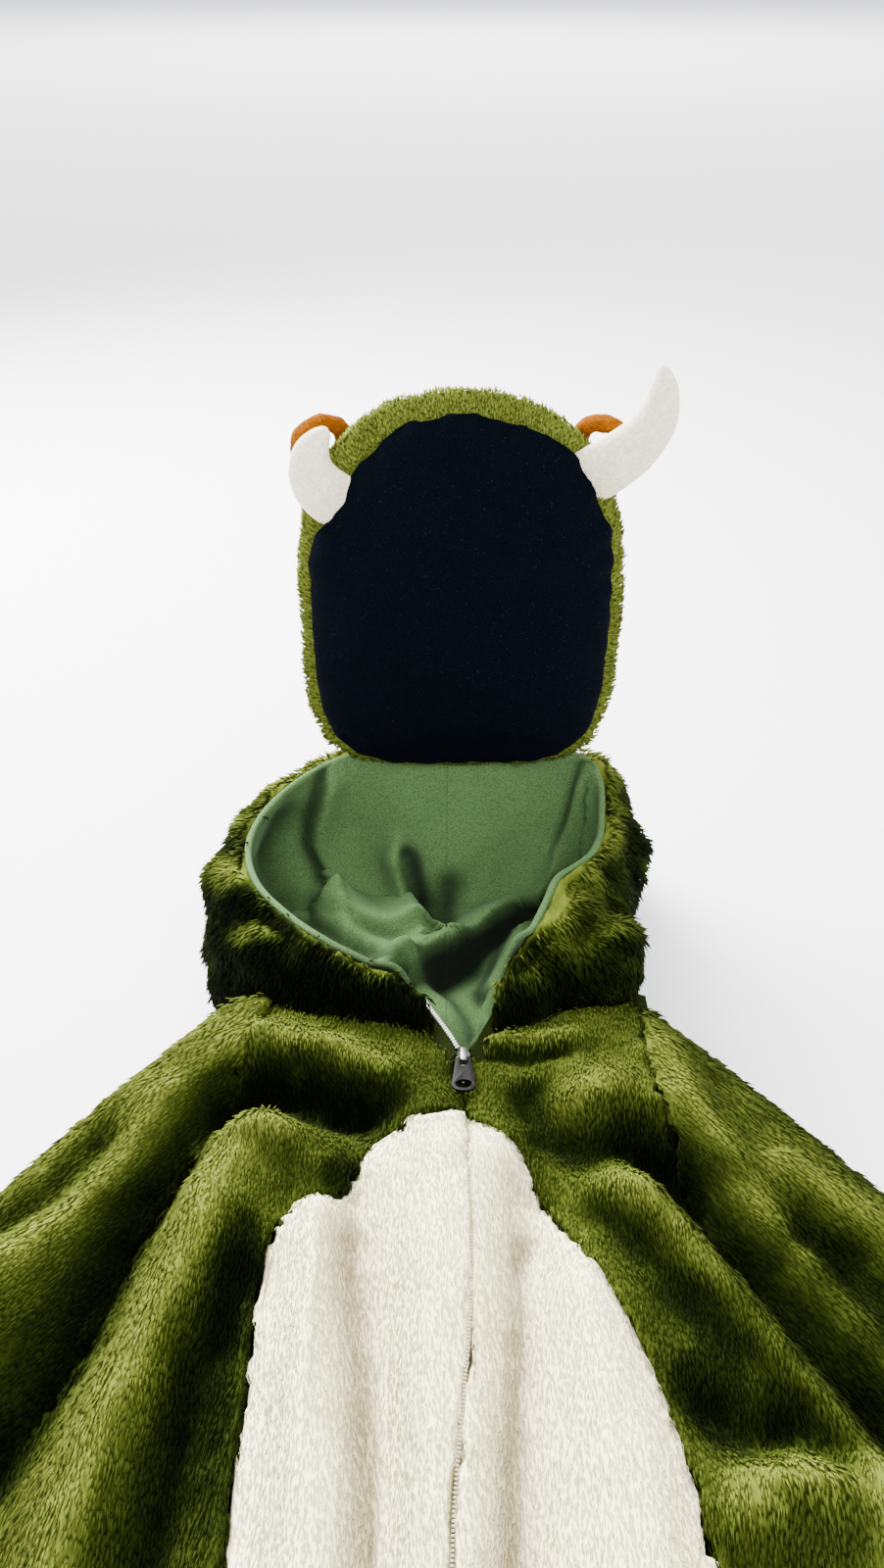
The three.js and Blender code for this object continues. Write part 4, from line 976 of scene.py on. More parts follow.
def pile_tree():
    tree, given, result = new_tree("plant_pile", PILE_INPUTS)
    sizes = given.outputs
    strew = add_node(tree, "GeometryNodeDistributePointsOnFaces", distribute_method="RANDOM")
    density = math_node(tree, "MULTIPLY", sizes["Locks per square metre"], named(tree, "pile", "FLOAT"))
    for entry, value in (("Mesh", sizes["Geometry"]), ("Density", density), ("Seed", sizes["Seed"])):
        tree.links.new(value, strew.inputs[entry])
    nap = named(tree, "nap", "FLOAT_VECTOR")
    upright = named(tree, "out", "FLOAT_VECTOR")
    way = lock_direction(tree, sizes, nap, upright)
    cloth_way = vector_node(tree, "SCALE", upright, scale=SHADE_FROM_CLOTH)
    lit = vector_node(tree, "NORMALIZE", vector_node(tree, "ADD", cloth_way, way))
    shaded = stored(tree, strew.outputs["Points"], "shade", "FLOAT_VECTOR", "POINT", lit)
    plant = copies(tree, shaded, lock, "ZX", way, nap)
    tree.links.new(lock_size(tree, sizes), plant.inputs["Scale"])
    chance = random_value(tree, 0.0, 1.0, 11)
    marked = stored(tree, plant.outputs["Instances"], "lock", "FLOAT", "INSTANCE", chance)
    made_real(tree, marked, sizes["Pile"], result)
    return tree


plant_pile = pile_tree()
print("pile tree:", len(plant_pile.nodes), "nodes")

# %% [markdown]
# Pile stands only on the outside of the cloth. A sleeve or a leg is a tube, so its outside is away
# from its own middle line. The hood and the jaw's back have a centre each, and the rest of the body
# has its outside up. The nap runs down the garment, as a maker lays the pattern.

# %% Outside and nap
TUBES = {
    "sleeve_left": {"top": (-111, -6), "along": (-0.62, -0.785)},
    "sleeve_right": {"top": (108, -28), "along": (0.62, -0.785)},
    "leg_left": {"top": (-94.5, -430), "along": (-0.1, -0.995)},
    "leg_right": {"top": (94.5, -430), "along": (0.1, -0.995)},
}
TUBE_MIDDLE_Z = 18
HOOD_CENTRE = (-8, 135)
SNOUT_CENTRE = (0, 221, 215)
SNOUT_HALF = (95, 116)
SNOUT_SQUARE = 2.4  # the power of its outline, where 2 is round


def from_tube(points, line):
    """From a tube's middle line to each point, and the way the tube runs."""
    run = np.array(line["along"], float)
    run /= np.linalg.norm(run)
    offset = points[:, :2] - np.array(line["top"], float)
    across = offset - (offset @ run)[:, None] * run
    return np.column_stack([across, points[:, 2] - TUBE_MIDDLE_Z]), np.array([*run, 0])


def outside_and_nap(node, points, normals):
    """For points in millimetres: 1 where each is on the outside and else 0, and its nap."""
    up = normals[:, 2]
    if node in TUBES:
        outward, run = from_tube(points, TUBES[node])
        outside = (np.sum(unit(outward) * normals, axis=1) > 0.0) & (up > -0.6)
        nap = np.tile(run, (len(points), 1))
    elif node.startswith("hood"):
        outward = unit(np.column_stack([points[:, :2] - HOOD_CENTRE, np.zeros(len(points))]))
        outside = (np.sum(outward * normals, axis=1) > 0.12) & (up > -0.7) & (points[:, 2] > 12)
        nap = outward * 0.8 + np.array([0, -0.35, -0.55])
    elif node == "snout_back":
        outward = points - SNOUT_CENTRE
        outward[:, 1] = 0
        span, rise = points[:, 0] / SNOUT_HALF[0], (points[:, 2] - SNOUT_CENTRE[2]) / SNOUT_HALF[1]
        reach = (np.abs(span) ** SNOUT_SQUARE + np.abs(rise) ** SNOUT_SQUARE) ** (1 / SNOUT_SQUARE)
        outside = (normals[:, 1] > -0.75) | (reach > 0.84)
        nap = unit(outward) * 0.5 + np.array([0, 0.8, 0.25])
    elif node == "back":
        outside = (up < 0.4) & (points[:, 2] > 3)
        nap = np.tile([0.0, -1, 0], (len(points), 1))
    else:
        outside = up > -0.1
        nap = np.tile([0.0, -1, -0.1], (len(points), 1))
    nap = nap - normals * np.sum(nap * normals, axis=1)[:, None]
    return outside.astype(float), unit(nap)


# %% [markdown]
# Locks are costly, so they stand densest where the photograph looks, and there they are finest. Behind
# and below the picture they are fewer and broader, which covers the cloth as well from a step away.
# All that a lock has to know is painted on a copy of the cloth, and the tree turns the copy into pile.

# %% Growing the pile
IN_PICTURE_Y = -250  # mm from the slider, just below the picture's lower edge
IN_PICTURE_X = 330  # mm to each side
FAR_SHARE = 0.26  # the pile's density where only other views see it
FAR_LONGER = 0.12
FAR_BROADER = 0.75
LOWEST = 0.0002  # m, so that no lock goes through the table


def seen_share(points, normals):
    """1 where the photograph sees the cloth, and less behind and below it."""
    to_camera = unit(np.array(CAMERA_PLACE) - points)
    facing = np.clip(np.sum(to_camera * normals, axis=1) * 3 + 0.9, 0, 1)
    near = np.clip((points[:, 1] - IN_PICTURE_Y) / 30 + 0.5, 0, 1)
    sides = np.clip((IN_PICTURE_X - np.abs(points[:, 0])) / 60, 0, 1)
    return FAR_SHARE + (1 - FAR_SHARE) * facing * near * sides


def paint(mesh, name, kind, values):
    layer = mesh.attributes.new(name, kind, "POINT")
    values = np.asarray(values, float).ravel()
    layer.data.foreach_set("vector" if kind == "FLOAT_VECTOR" else "value", values)


def grow_pile(cloth, node, locks, style, seed, material):
    points, normals = from_slider(coordinates(cloth.data)), normals_of(cloth.data)
    outside, nap = outside_and_nap(node, points, normals)
    share = seen_share(points, normals)
    bed = link(node + "_pile", cloth.data.copy())
    # painted light and shade, put on both the cloth and its pile
    glow = painted_shading_of(node, points, normals)
    paint(cloth.data, "glow", "FLOAT", glow)
    paint(bed.data, "glow", "FLOAT", glow)
    for_tree = {
        "pile": outside * share,
        "nap": nap,
        "out": normals,
        "length": 1 + FAR_LONGER * (1 - share),
        "broad": 1 + FAR_BROADER * (1 - share),
    }
    for title, values in for_tree.items():
        paint(bed.data, title, "FLOAT_VECTOR" if values.ndim == 2 else "FLOAT", values)
    modifier = bed.modifiers.new("pile", "NODES")
    modifier.node_group = plant_pile
    density = {"Locks per square metre": locks * 1e6}
    set_inputs(modifier, Seed=seed, Pile=material, Length=style["length"] * MM, **density)
    set_inputs(modifier, Width=style["width"], Lean=style["lean"], Tuft=style["tuft"])
    settled(bed)
    ends = coordinates(bed.data)
    ends[:, 2] = np.maximum(ends[:, 2], LOWEST)
    move_to(bed.data, ends)
    for title in for_tree:
        layer = bed.data.attributes.get(title)
        if layer:
            bed.data.attributes.remove(layer)
    return bed


# %% [markdown]
# The same steps dress each plush piece. Green pile is long and tufted. The cream belly is cut
# shorter and lies flatter. The hood's pile is the longest, because nothing presses on it, and the
# jaw's back has a shorter, stiffer one that stands out round the velour as a rim.

# %% Dress the plush
PILE_STYLES = {
    "green": {"length": 7.0, "width": 0.84, "lean": 1.9, "tuft": 1.0},
    "cream": {"length": 3.3, "width": 0.88, "lean": 3.6, "tuft": 1.0},
    "rim": {"length": 5.2, "width": 1.2, "lean": 1.7, "tuft": 0.9},
    "hood": {"length": 8.6, "width": 0.84, "lean": 1.3, "tuft": 1.6},
}
PLUSH_PIECES = [
    {"node": "front_left", "kind": "green", "locks": 0.27},
    {"node": "front_right", "kind": "green", "locks": 0.27},
    {"node": "back", "kind": "green", "locks": 0.27},
    {"node": "belly_left", "kind": "cream", "locks": 0.5},
    {"node": "belly_right", "kind": "cream", "locks": 0.5},
    {"node": "sleeve_left", "kind": "green", "locks": 0.25},
    {"node": "sleeve_right", "kind": "green", "locks": 0.25},
    {"node": "leg_left", "kind": "green", "locks": 0.22},
    {"node": "leg_right", "kind": "green", "locks": 0.22},
    {"node": "hood_left", "kind": "hood", "locks": 0.29},
    {"node": "hood_right", "kind": "hood", "locks": 0.29},
    {"node": "snout_back", "kind": "rim", "locks": 0.5, "inset": -0.6},
]
FIRST_SEED = 20
cloth_of = {}
pile_on = {}
lock_total = 0
for number, row in enumerate(PLUSH_PIECES):
    node, kind = row["node"], row["kind"]
    colour = "cream" if kind == "cream" else "green"
    cloth = base_cloth(node, row.get("inset", INSET), number + 1)
    cloth.data.materials.append(backing_of[colour])
    pile = grow_pile(cloth, node, row["locks"], PILE_STYLES[kind], FIRST_SEED + number, pile_of[colour])
    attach(cloth, "garment")
    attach(pile, "garment")
    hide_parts(node)
    cloth_of[node], pile_on[node] = cloth, pile
    count = len(pile.data.polygons) // LOCK_FACES
    lock_total += count
    print(f"{node}: {len(cloth.data.polygons)} cloth faces, {count} locks")
print("locks in all:", lock_total)

# %% [markdown]
# The lining hangs inside the hood. It is drawn on a round grid about the hood's middle: each ray from
# the middle is a curve that rolls over the rim, sags down the wall and runs out on the floor. The table
# gives the ray at each angle, in degrees from +X. At the neck, about 270 degrees, the rim drops almost
# to the lining's own floor, because the hood is open there.

# %% Hood lining sizes
HOOD = [
    {"angle": 0, "rim": 86, "rim_z": 91, "sag": 92, "sag_z": 24, "floor": 66},
    {"angle": 20, "rim": 101, "rim_z": 92, "sag": 104, "sag_z": 22, "floor": 72},
    {"angle": 41, "rim": 118, "rim_z": 104, "sag": 104, "sag_z": 34, "floor": 62},
    {"angle": 62, "rim": 93, "rim_z": 100, "sag": 66, "sag_z": 50, "floor": 42},
    {"angle": 84, "rim": 79, "rim_z": 98, "sag": 50, "sag_z": 50, "floor": 32},
    {"angle": 108, "rim": 86, "rim_z": 100, "sag": 58, "sag_z": 50, "floor": 38},
    {"angle": 131, "rim": 105, "rim_z": 103, "sag": 100, "sag_z": 34, "floor": 62},
    {"angle": 150, "rim": 119, "rim_z": 91, "sag": 138, "sag_z": 20, "floor": 90},
    {"angle": 170, "rim": 121, "rim_z": 86, "sag": 142, "sag_z": 14, "floor": 94},
    {"angle": 190, "rim": 113, "rim_z": 85, "sag": 134, "sag_z": 14, "floor": 90},
    {"angle": 207, "rim": 103, "rim_z": 85, "sag": 116, "sag_z": 20, "floor": 82},
    {"angle": 226, "rim": 97, "rim_z": 85, "sag": 96, "sag_z": 30, "floor": 82},
    {"angle": 243, "rim": 95, "rim_z": 83, "sag": 92, "sag_z": 36, "floor": 84},
    {"angle": 257, "rim": 97, "rim_z": 79, "sag": 94, "sag_z": 36, "floor": 86},
    {"angle": 263, "rim": 103, "rim_z": 58, "sag": 99, "sag_z": 26, "floor": 90},
    {"angle": 268, "rim": 108, "rim_z": 20, "sag": 104, "sag_z": 15, "floor": 96},
    {"angle": 279, "rim": 108, "rim_z": 20, "sag": 104, "sag_z": 15, "floor": 96},
    {"angle": 284, "rim": 100, "rim_z": 58, "sag": 95, "sag_z": 26, "floor": 86},
    {"angle": 289, "rim": 92, "rim_z": 79, "sag": 88, "sag_z": 34, "floor": 80},
    {"angle": 308, "rim": 77, "rim_z": 86, "sag": 82, "sag_z": 30, "floor": 68},
    {"angle": 325, "rim": 69, "rim_z": 88, "sag": 80, "sag_z": 26, "floor": 60},
    {"angle": 341, "rim": 68, "rim_z": 90, "sag": 80, "sag_z": 24, "floor": 58},
]
LINING_FLOOR_Z = 14
LINING_THICKNESS = 1.1
COLUMNS = 124  # rays in each half
WALL_ROWS = 56
FLOOR_ROWS = 22
SEAM_TURN = 0.35  # degrees by which each half of the lining goes past the middle seam


def round_column(name):
    """A smooth closed curve through one column of the hood's table."""
    angles = np.array([row["angle"] for row in HOOD], float)
    values = np.array([row[name] for row in HOOD], float)
    turns = np.concatenate([angles - 360, angles, angles + 360])
    repeated = np.tile(values, 3)
    slopes = np.gradient(repeated, turns)

    def read(at):
        at = np.mod(at, 360)
        i = np.clip(np.searchsorted(turns, at, "right") - 1, 0, len(turns) - 2)
        span = turns[i + 1] - turns[i]
        t = (at - turns[i]) / span
        value = repeated[i] * (1 + 2 * t) * (1 - t) ** 2 + repeated[i + 1] * t * t * (3 - 2 * t)
        return value + span * (slopes[i] * t * (1 - t) ** 2 + slopes[i + 1] * t * t * (t - 1))

    return read


hood = {name: round_column(name) for name in ("rim", "rim_z", "sag", "sag_z", "floor")}


def lining_path(angle):
    """One ray of the lining: a rolled lip, a sagging wall and the floor."""
    rim, rim_z = hood["rim"](angle), hood["rim_z"](angle)
    sag, sag_z, floor_r = hood["sag"](angle), hood["sag_z"](angle), hood["floor"](angle)
    lip = min(1.0, max(0.0, (rim_z - 30) / 40))
    roll = [
        (rim + 1.6 * lip, rim_z - 1.4),
        (rim + 1.1 * lip, rim_z + 0.2 * lip),
        (rim - 0.6 * lip, rim_z + 0.5 * lip),
    ]
    t = np.linspace(0, 1, WALL_ROWS)[:, None]
    start = np.array([rim - 2.0 * lip, rim_z - 0.6])
    middle, end = np.array([sag, sag_z]), np.array([floor_r, LINING_FLOOR_Z])
    wall = (1 - t) ** 2 * start + 2 * t * (1 - t) * middle + t**2 * end
    inner = [(r, LINING_FLOOR_Z) for r in np.linspace(floor_r, 0, FLOOR_ROWS)[1:]]
    path = np.concatenate([np.array(roll), wall, np.array(inner)])
    turn = math.radians(angle)
    x = HOOD_CENTRE[0] + path[:, 0] * math.cos(turn)
    y = HOOD_CENTRE[1] + path[:, 0] * math.sin(turn)
    return np.column_stack([x, y, path[:, 1]])


print("hood table:", len(HOOD), "rays")

# %% [markdown]
# A fold of jersey is a line in space with a width and a height, as on the body. But jersey is thin and
# hangs, so a fold often has one steep side, which the number steep picks: 1 or -1, and 0 for neither.
# The cloth near the line is pushed out along its own normal, and the foot of the steep side is painted
# dark, since hardly any light falls in there.

# %% Folds of the lining
LINING_FOLDS = [
    {"name": "left curtain edge", "width": 12, "height": 11, "steep": 1,
     "line": [(-84, 207, 92), (-92, 206, 60), (-94, 203, 46), (-88, 190, 26), (-78, 172, 14)]},
    {"name": "left pocket", "width": 12, "height": -7, "steep": 0,
     "line": [(-112, 196, 66), (-122, 186, 47), (-112, 176, 24)]},
    {"name": "left rim tuck", "width": 7, "height": 5, "steep": 0,
     "line": [(-112, 185, 86), (-124, 160, 70), (-126, 135, 52)]},
    {"name": "left rim crease", "width": 5, "height": 4, "steep": 1,
     "line": [(-100, 196, 82), (-110, 186, 66), (-116, 176, 46)]},
    {"name": "pocket seam", "width": 6, "height": 6, "steep": 1,
     "line": [(-118, 156, 22), (-100, 160, 14), (-80, 170, 14)]},
    {"name": "right curtain edge", "width": 9, "height": 8, "steep": 1,
     "line": [(80, 208, 100), (76, 204, 77), (66, 195, 42)]},
    {"name": "right rim tuck", "width": 6, "height": 6, "steep": 1,
     "line": [(88, 200, 92), (86, 190, 66), (74, 178, 40)]},
    {"name": "curtain hem", "width": 17, "height": 15, "steep": 1,
     "line": [(-84, 168, 14), (-62, 152, 14), (-42, 141, 14), (-24, 137, 14)]},
    {"name": "pleat", "width": 14, "height": 14, "steep": -1,
     "line": [(-35, 188, 40), (-31, 176, 22), (-28, 162, 14), (-24, 140, 14)]},
    {"name": "pleat hollow", "width": 11, "height": -10, "steep": 0,
     "line": [(-6, 176, 26), (-9, 164, 14), (-12, 150, 14)]},
    {"name": "foot hollow", "width": 9, "height": -9, "steep": 0, "line": [(-12, 146, 14), (6, 142, 14)]},
    {"name": "floor ridge", "width": 17, "height": 22, "steep": 1,
     "line": [(-44, 98, 14), (-26, 110, 14), (0, 132, 14), (30, 154, 16), (64, 178, 32)]},
    {"name": "under the floor ridge", "width": 12, "height": -7, "steep": 0,
     "line": [(-10, 104, 14), (8, 116, 14)]},
    {"name": "right floor ridge", "width": 14, "height": 13, "steep": 1,
     "line": [(38, 142, 14), (28, 118, 14), (18, 92, 14)]},
    {"name": "right floor sweep", "width": 14, "height": 8, "steep": 1,
     "line": [(66, 150, 24), (50, 120, 14), (38, 96, 14)]},
    {"name": "left floor tuck", "width": 11, "height": 10, "steep": 1,
     "line": [(-88, 158, 14), (-70, 142, 14), (-50, 126, 14), (-38, 108, 14)]},
    {"name": "left tuck seam", "width": 5, "height": 5, "steep": -1,
     "line": [(-76, 168, 14), (-71, 150, 14), (-66, 138, 14)]},
    {"name": "back neck ridge", "width": 12, "height": 8, "steep": -1,
     "line": [(-26, 104, 14), (-10, 82, 14), (0, 60, 14), (4, 36, 14)]},
    {"name": "front neck lip", "width": 9, "height": 8, "steep": 1,
     "line": [(16, 62, 14), (10, 44, 14), (6, 26, 14)]},
]
STEEP_SIDE = 0.34  # how much narrower a fold is on its steep side
FOOT = {"at": 0.5, "width": 0.36, "full": 17}  # in fold widths, and the height that makes it black
HOLLOW_FULL = 14  # depth of a hollow that makes it black
# painted shade deep in the neck, where little light comes
NECK_SHADE = 0.42  # how dark the lining is deep in the neck, where 1 is black
NECK_SPAN = (-85, -45)


def fold_push(points, normals, fold):
    """A fold's push along the normal at each point, and the painted shade that it puts on the cloth there.
    """
    best = np.full(len(points), np.inf)
    side = np.zeros(len(points))
    line = np.array(fold["line"], float)
    for a, b in zip(line[:-1], line[1:]):
        t = np.clip((points - a) @ (b - a) / np.dot(b - a, b - a), 0, 1)
        away = points - a - t[:, None] * (b - a)
        length = np.linalg.norm(away, axis=1)
        turned = np.sum(np.cross(np.broadcast_to(b - a, normals.shape), normals) * away, axis=1)
        side = np.where(length < best, turned, side)
        best = np.minimum(best, length)
    height, width = fold["height"], fold["width"]
    steep = (side * fold["steep"]) > 0
    push = height * np.exp(-((best / (width * np.where(steep, STEEP_SIDE, 1.0))) ** 2))
    # painted shade in a hollow, and at the foot of a steep side
    if height < 0:
        dark = np.exp(-((best / width) ** 2)) * -height / HOLLOW_FULL
    else:
        foot = (best - FOOT["at"] * width) / (FOOT["width"] * width)
        dark = steep * np.exp(-(foot**2)) * height / FOOT["full"]
    return push, np.clip(dark, 0, 1)


def all_folds(points, normals):
    """What all the folds of the lining together push, and their painted shade with that of the neck."""
    push, hollow = np.zeros(len(points)), np.zeros(len(points))
    for fold in LINING_FOLDS:
        raised, dark = fold_push(points, normals, fold)
        push += raised
        hollow = np.maximum(hollow - raised / HOLLOW_FULL, dark)
    in_neck = NECK_SHADE * smooth_step(-points[:, 1], *NECK_SPAN)
    push += 1.3 * lumps(points * MM, 0.03, 3) + 0.6 * lumps(points * MM, 0.012, 8)
    return push, np.clip(np.maximum(hollow, in_neck), 0, 1)


print("folds of the lining:", len(LINING_FOLDS))

# %% [markdown]
# The two halves of the lining are sewn together along the middle, from the forehead to the neck. Each
# is a grid of rays. Its folds are pushed in, it is relaxed, and a solidify gives it its thickness. The
# rim keeps its place, because it is sewn to the plush there.

# %% Hood lining mesh
HELD_ROWS = 2  # the last row from the rim that no fold moves
FREED_ROWS = 7  # rows over which the folds come in
LINING_MERGED = 1e-6  # m
LINING_MIDDLE_Z = 60.0


def closed_fan(work):
    """Joins the points where all rays meet, and turns every face the same way out."""
    bmesh.ops.remove_doubles(work, verts=work.verts, dist=LINING_MERGED)
    bmesh.ops.recalc_face_normals(work, faces=work.faces)


def grid_normals(grid):
    """The direction into the hood at each point of the grid, and straight up on the floor."""
    normal = np.cross(np.gradient(grid, axis=1), np.gradient(grid, axis=0))
    normal /= np.maximum(np.linalg.norm(normal, axis=2), 1e-9)[:, :, None]
    middle = np.array([*HOOD_CENTRE, LINING_MIDDLE_Z])
    normal[np.sum(normal * (middle - grid), axis=2) < 0] *= -1
    normal[:, -FLOOR_ROWS:] = (0, 0, 1)
    return normal


def lining_half(name, first, last):
    grid = np.array([lining_path(angle) for angle in np.linspace(first, last, COLUMNS)])
    normal = grid_normals(grid)
    push, hollow = all_folds(grid.reshape(-1, 3), normal.reshape(-1, 3))
    across, deep = grid.shape[:2]
    free = np.clip((np.arange(deep) - HELD_ROWS) / FREED_ROWS, 0, 1)
    moved = grid + normal * (push.reshape(across, deep) * free)[:, :, None]
    faces = []
    for i in range(across - 1):
        for j in range(deep - 1):
            a = i * deep + j
            faces.append((a, a + 1, a + deep + 1, a + deep) if j < deep - 2 else (a, a + 1, a + deep))
    mesh = bpy.data.meshes.new(name)
    mesh.from_pydata([tuple(v) for v in placed(moved.reshape(-1, 3))], [], faces)
    paint(mesh, "hollow", "FLOAT", hollow)
    reworked(mesh, closed_fan)
    smooth_shaded(mesh)
    obj = link(name, mesh)
    relax = obj.modifiers.new("relax", "SMOOTH")
    relax.factor, relax.iterations = 0.5, 2
    shell = obj.modifiers.new("thickness", "SOLIDIFY")
    shell.thickness, shell.offset = LINING_THICKNESS * MM, 0
    settled(obj)
    obj.data.materials.clear()
    obj.data.materials.append(lining_cloth)
    return obj


linings = {
    "hood_lining_right": lining_half("lining_right", -90 - SEAM_TURN, 90 + SEAM_TURN),
    "hood_lining_left": lining_half("lining_left", 90 - SEAM_TURN, 270 + SEAM_TURN),
}
for node, piece in linings.items():
    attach(piece, "garment")
    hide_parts(node)
    print(piece.name, len(piece.data.polygons), "faces")

# %% [markdown]
# The padded underside of the jaw is sewn into a narrower edge than it was cut, so it puckers along
# its seam, and it creases where it bends over the forehead. The solid has clean rings of faces, so a
# subdivision surface makes it round before the puckers are pressed in.

# %% Underside of the jaw
FACE_HALF = (90, 113)  # mm to the side and up from its middle
FACE_MIDDLE_Z = 215
FACE_SQUARE = {"top": 2.4, "bottom": 5}  # the power of its outline, where 2 is round
FACE_PUCKERS = 34
FACE_SCALLOPS = 12
FACE_SCALLOP = 2.2  # mm in and out along the seam at the top
CORNER_TAKEN_IN = 9.5  # mm, where the left tooth is sewn in
TOP_TAKEN_IN = 4.5  # mm
CREASE = {"z": 118, "deep": 1.6, "width": 4, "wave": 5, "wavelength": 17}
FLAT_JOIN = 3.2  # radians, more than half a turn, so that any two triangles may join


def joined_triangles(work):
    bmesh.ops.join_triangles(
        work, faces=work.faces, angle_face_threshold=FLAT_JOIN, angle_shape_threshold=FLAT_JOIN
    )


def taken_in(points):
    """The outline drawn in at the top, and more at the left tooth."""
    left_corner = smooth_step(-points[:, 0], 15, 75) * smooth_step(points[:, 2], 243, 275)
    points[:, 0] += CORNER_TAKEN_IN * left_corner
    points[:, 2] -= TOP_TAKEN_IN * smooth_step(points[:, 2], 270, 326) * (1 + 0.5 * left_corner)


def puckered(points, normals):
    """Puckers and scallops along the seam, a crease over the forehead and soft lumps."""
    across, height = points[:, 0] / FACE_HALF[0], (points[:, 2] - FACE_MIDDLE_Z) / FACE_HALF[1]
    power = np.where(height > 0, FACE_SQUARE["top"], FACE_SQUARE["bottom"])
    reach = (np.abs(across) ** FACE_SQUARE["top"] + np.abs(height) ** power) ** 0.4
    turn = np.arctan2(height, across)
    edge = np.clip((reach - 0.72) / 0.28, 0, 1)
    top = np.clip(height * 2, 0, 1)
    puckers = np.sin(turn * FACE_PUCKERS + 1.5 * np.sin(turn * 5)) * edge**2 * (1.4 * top + 0.5)
    crease_z = CREASE["z"] + CREASE["wave"] * np.sin(points[:, 0] / CREASE["wavelength"])
    crease = -CREASE["deep"] * np.exp(-(((points[:, 2] - crease_z) / CREASE["width"]) ** 2))
    crease *= np.abs(across) < 0.8
    soft = 1.2 * lumps(points * MM, 0.045, 4) + 0.5 * lumps(points * MM, 0.018, 9)
    points += normals * ((puckers + crease + soft) * (normals[:, 1] < 0.2))[:, None]
    wave = np.sin(turn * FACE_SCALLOPS + 1.4 * np.sin(turn * 3))
    scallops = FACE_SCALLOP * wave * edge**2 * smooth_step(height, 0.1, 0.5)
    points[:, 0] *= 1 - scallops / FACE_HALF[0]
    points[:, 2] -= scallops * height


face = merged_copy("snout_face", "snout_face_cloth")
reworked(face.data, joined_triangles)
rounder = face.modifiers.new("rounder", "SUBSURF")
rounder.levels = rounder.render_levels = 3
settled(face)
face_points, face_normals = from_slider(coordinates(face.data)), normals_of(face.data)
taken_in(face_points)
puckered(face_points, face_normals)
move_to(face.data, placed(face_points))
smooth_shaded(face.data)
face.data.materials.append(velour_cloth)
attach(face, "garment")
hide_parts("snout_face")
print("snout_face", len(face.data.polygons), "faces")

# %% [markdown]
# Each nostril is a small stuffed ring of fleece. Its solid already has the form, so a fine voxel remesh
# and a little relaxing round it off, and soft lumps show the stuffing.

# %% Nostril rings
RING_SHIFT = {"nostril_left": (-2.5, 0, 0), "nostril_right": (3, 0, 0)}
RING_CELL = 1.0  # mm
RING_FULLER = 0.5  # mm
RING_SEED = 6


def nostril_ring(node):
    obj = evened(merged_copy(node, node + "_cloth"), RING_CELL, RELAX)
    points, normals = coordinates(obj.data), normals_of(obj.data)
    wave = lumps(points, 0.012, RING_SEED) * 0.6 + lumps(points, 0.0045, RING_SEED + 1) * 0.7
    points += normals * ((wave + RING_FULLER) * MM)[:, None]
    points += np.array(RING_SHIFT[node]) * MM
    move_to(obj.data, points)
    smooth_shaded(obj.data)
    obj.data.materials.append(nostril_cloth)
    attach(obj, "garment")
    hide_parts(node)
    print(node, len(obj.data.polygons), "faces")


# %% [markdown]
# A tooth is a curved, tapering pad of fleece. It is lofted: ovals are set square to the tooth's bent
# line, each a little smaller than the last, and joined. A loft follows the bend more evenly than the
# faceted solid does, and a subdivision surface rounds it.

# %% Teeth
TEETH = {
    "left": [
        {"at": (-60, 226, 264.5), "half": 16, "deep": 0.1},
        {"at": (-66, 225, 268), "half": 17.2, "deep": 0.28},
        {"at": (-75, 222, 275), "half": 17, "deep": 0.5},
        {"at": (-82.5, 219.5, 285), "half": 15, "deep": 0.6},
        {"at": (-84, 218.5, 296), "half": 12.2, "deep": 0.64},
        {"at": (-80.3, 218, 305.5), "half": 8.8, "deep": 0.7},
        {"at": (-75.5, 218, 311.5), "half": 5.4, "deep": 0.85},
        {"at": (-72.5, 218, 314), "half": 1.6, "deep": 1},
    ],
    "right": [
        {"at": (67, 226.5, 281.5), "half": 16, "deep": 0.1},
        {"at": (74, 225.5, 286), "half": 17.3, "deep": 0.28},
        {"at": (84, 223.5, 293), "half": 16.3, "deep": 0.5},
        {"at": (96, 222, 303.5), "half": 14.6, "deep": 0.6},
        {"at": (104.5, 221.5, 316), "half": 12.6, "deep": 0.64},
        {"at": (107.3, 221.5, 329), "half": 9.8, "deep": 0.7},
        {"at": (106.6, 222, 338.5), "half": 6.8, "deep": 0.85},
        {"at": (104.8, 222.5, 344.5), "half": 3.8, "deep": 1},
        {"at": (104, 223, 346.5), "half": 1.2, "deep": 1},
    ],
}
TOOTH_SIDES = 20


def ovals_along(rings):
    """Points and faces of a tooth: its ovals, the faces between them and a cap at each end."""
    places = np.array([row["at"] for row in rings], float)
    verts, faces = [], []
    for row, place, run in zip(rings, places, np.gradient(places, axis=0)):
        run = run / np.linalg.norm(run)
        deep = np.array([0, 1, 0]) - run * run[1]
        deep /= np.linalg.norm(deep)
        across = np.cross(run, deep)
        for i in range(TOOTH_SIDES):
            turn = math.tau * i / TOOTH_SIDES
            oval = across * math.cos(turn) + row["deep"] * deep * math.sin(turn)
            verts.append(place + row["half"] * oval)
    for r in range(len(rings) - 1):
        for i in range(TOOTH_SIDES):
            a, b = r * TOOTH_SIDES + i, r * TOOTH_SIDES + (i + 1) % TOOTH_SIDES
            faces.append((a, b, b + TOOTH_SIDES, a + TOOTH_SIDES))
    faces.append(tuple(reversed(range(TOOTH_SIDES))))
    faces.append(tuple(range(len(verts) - TOOTH_SIDES, len(verts))))
    return verts, faces


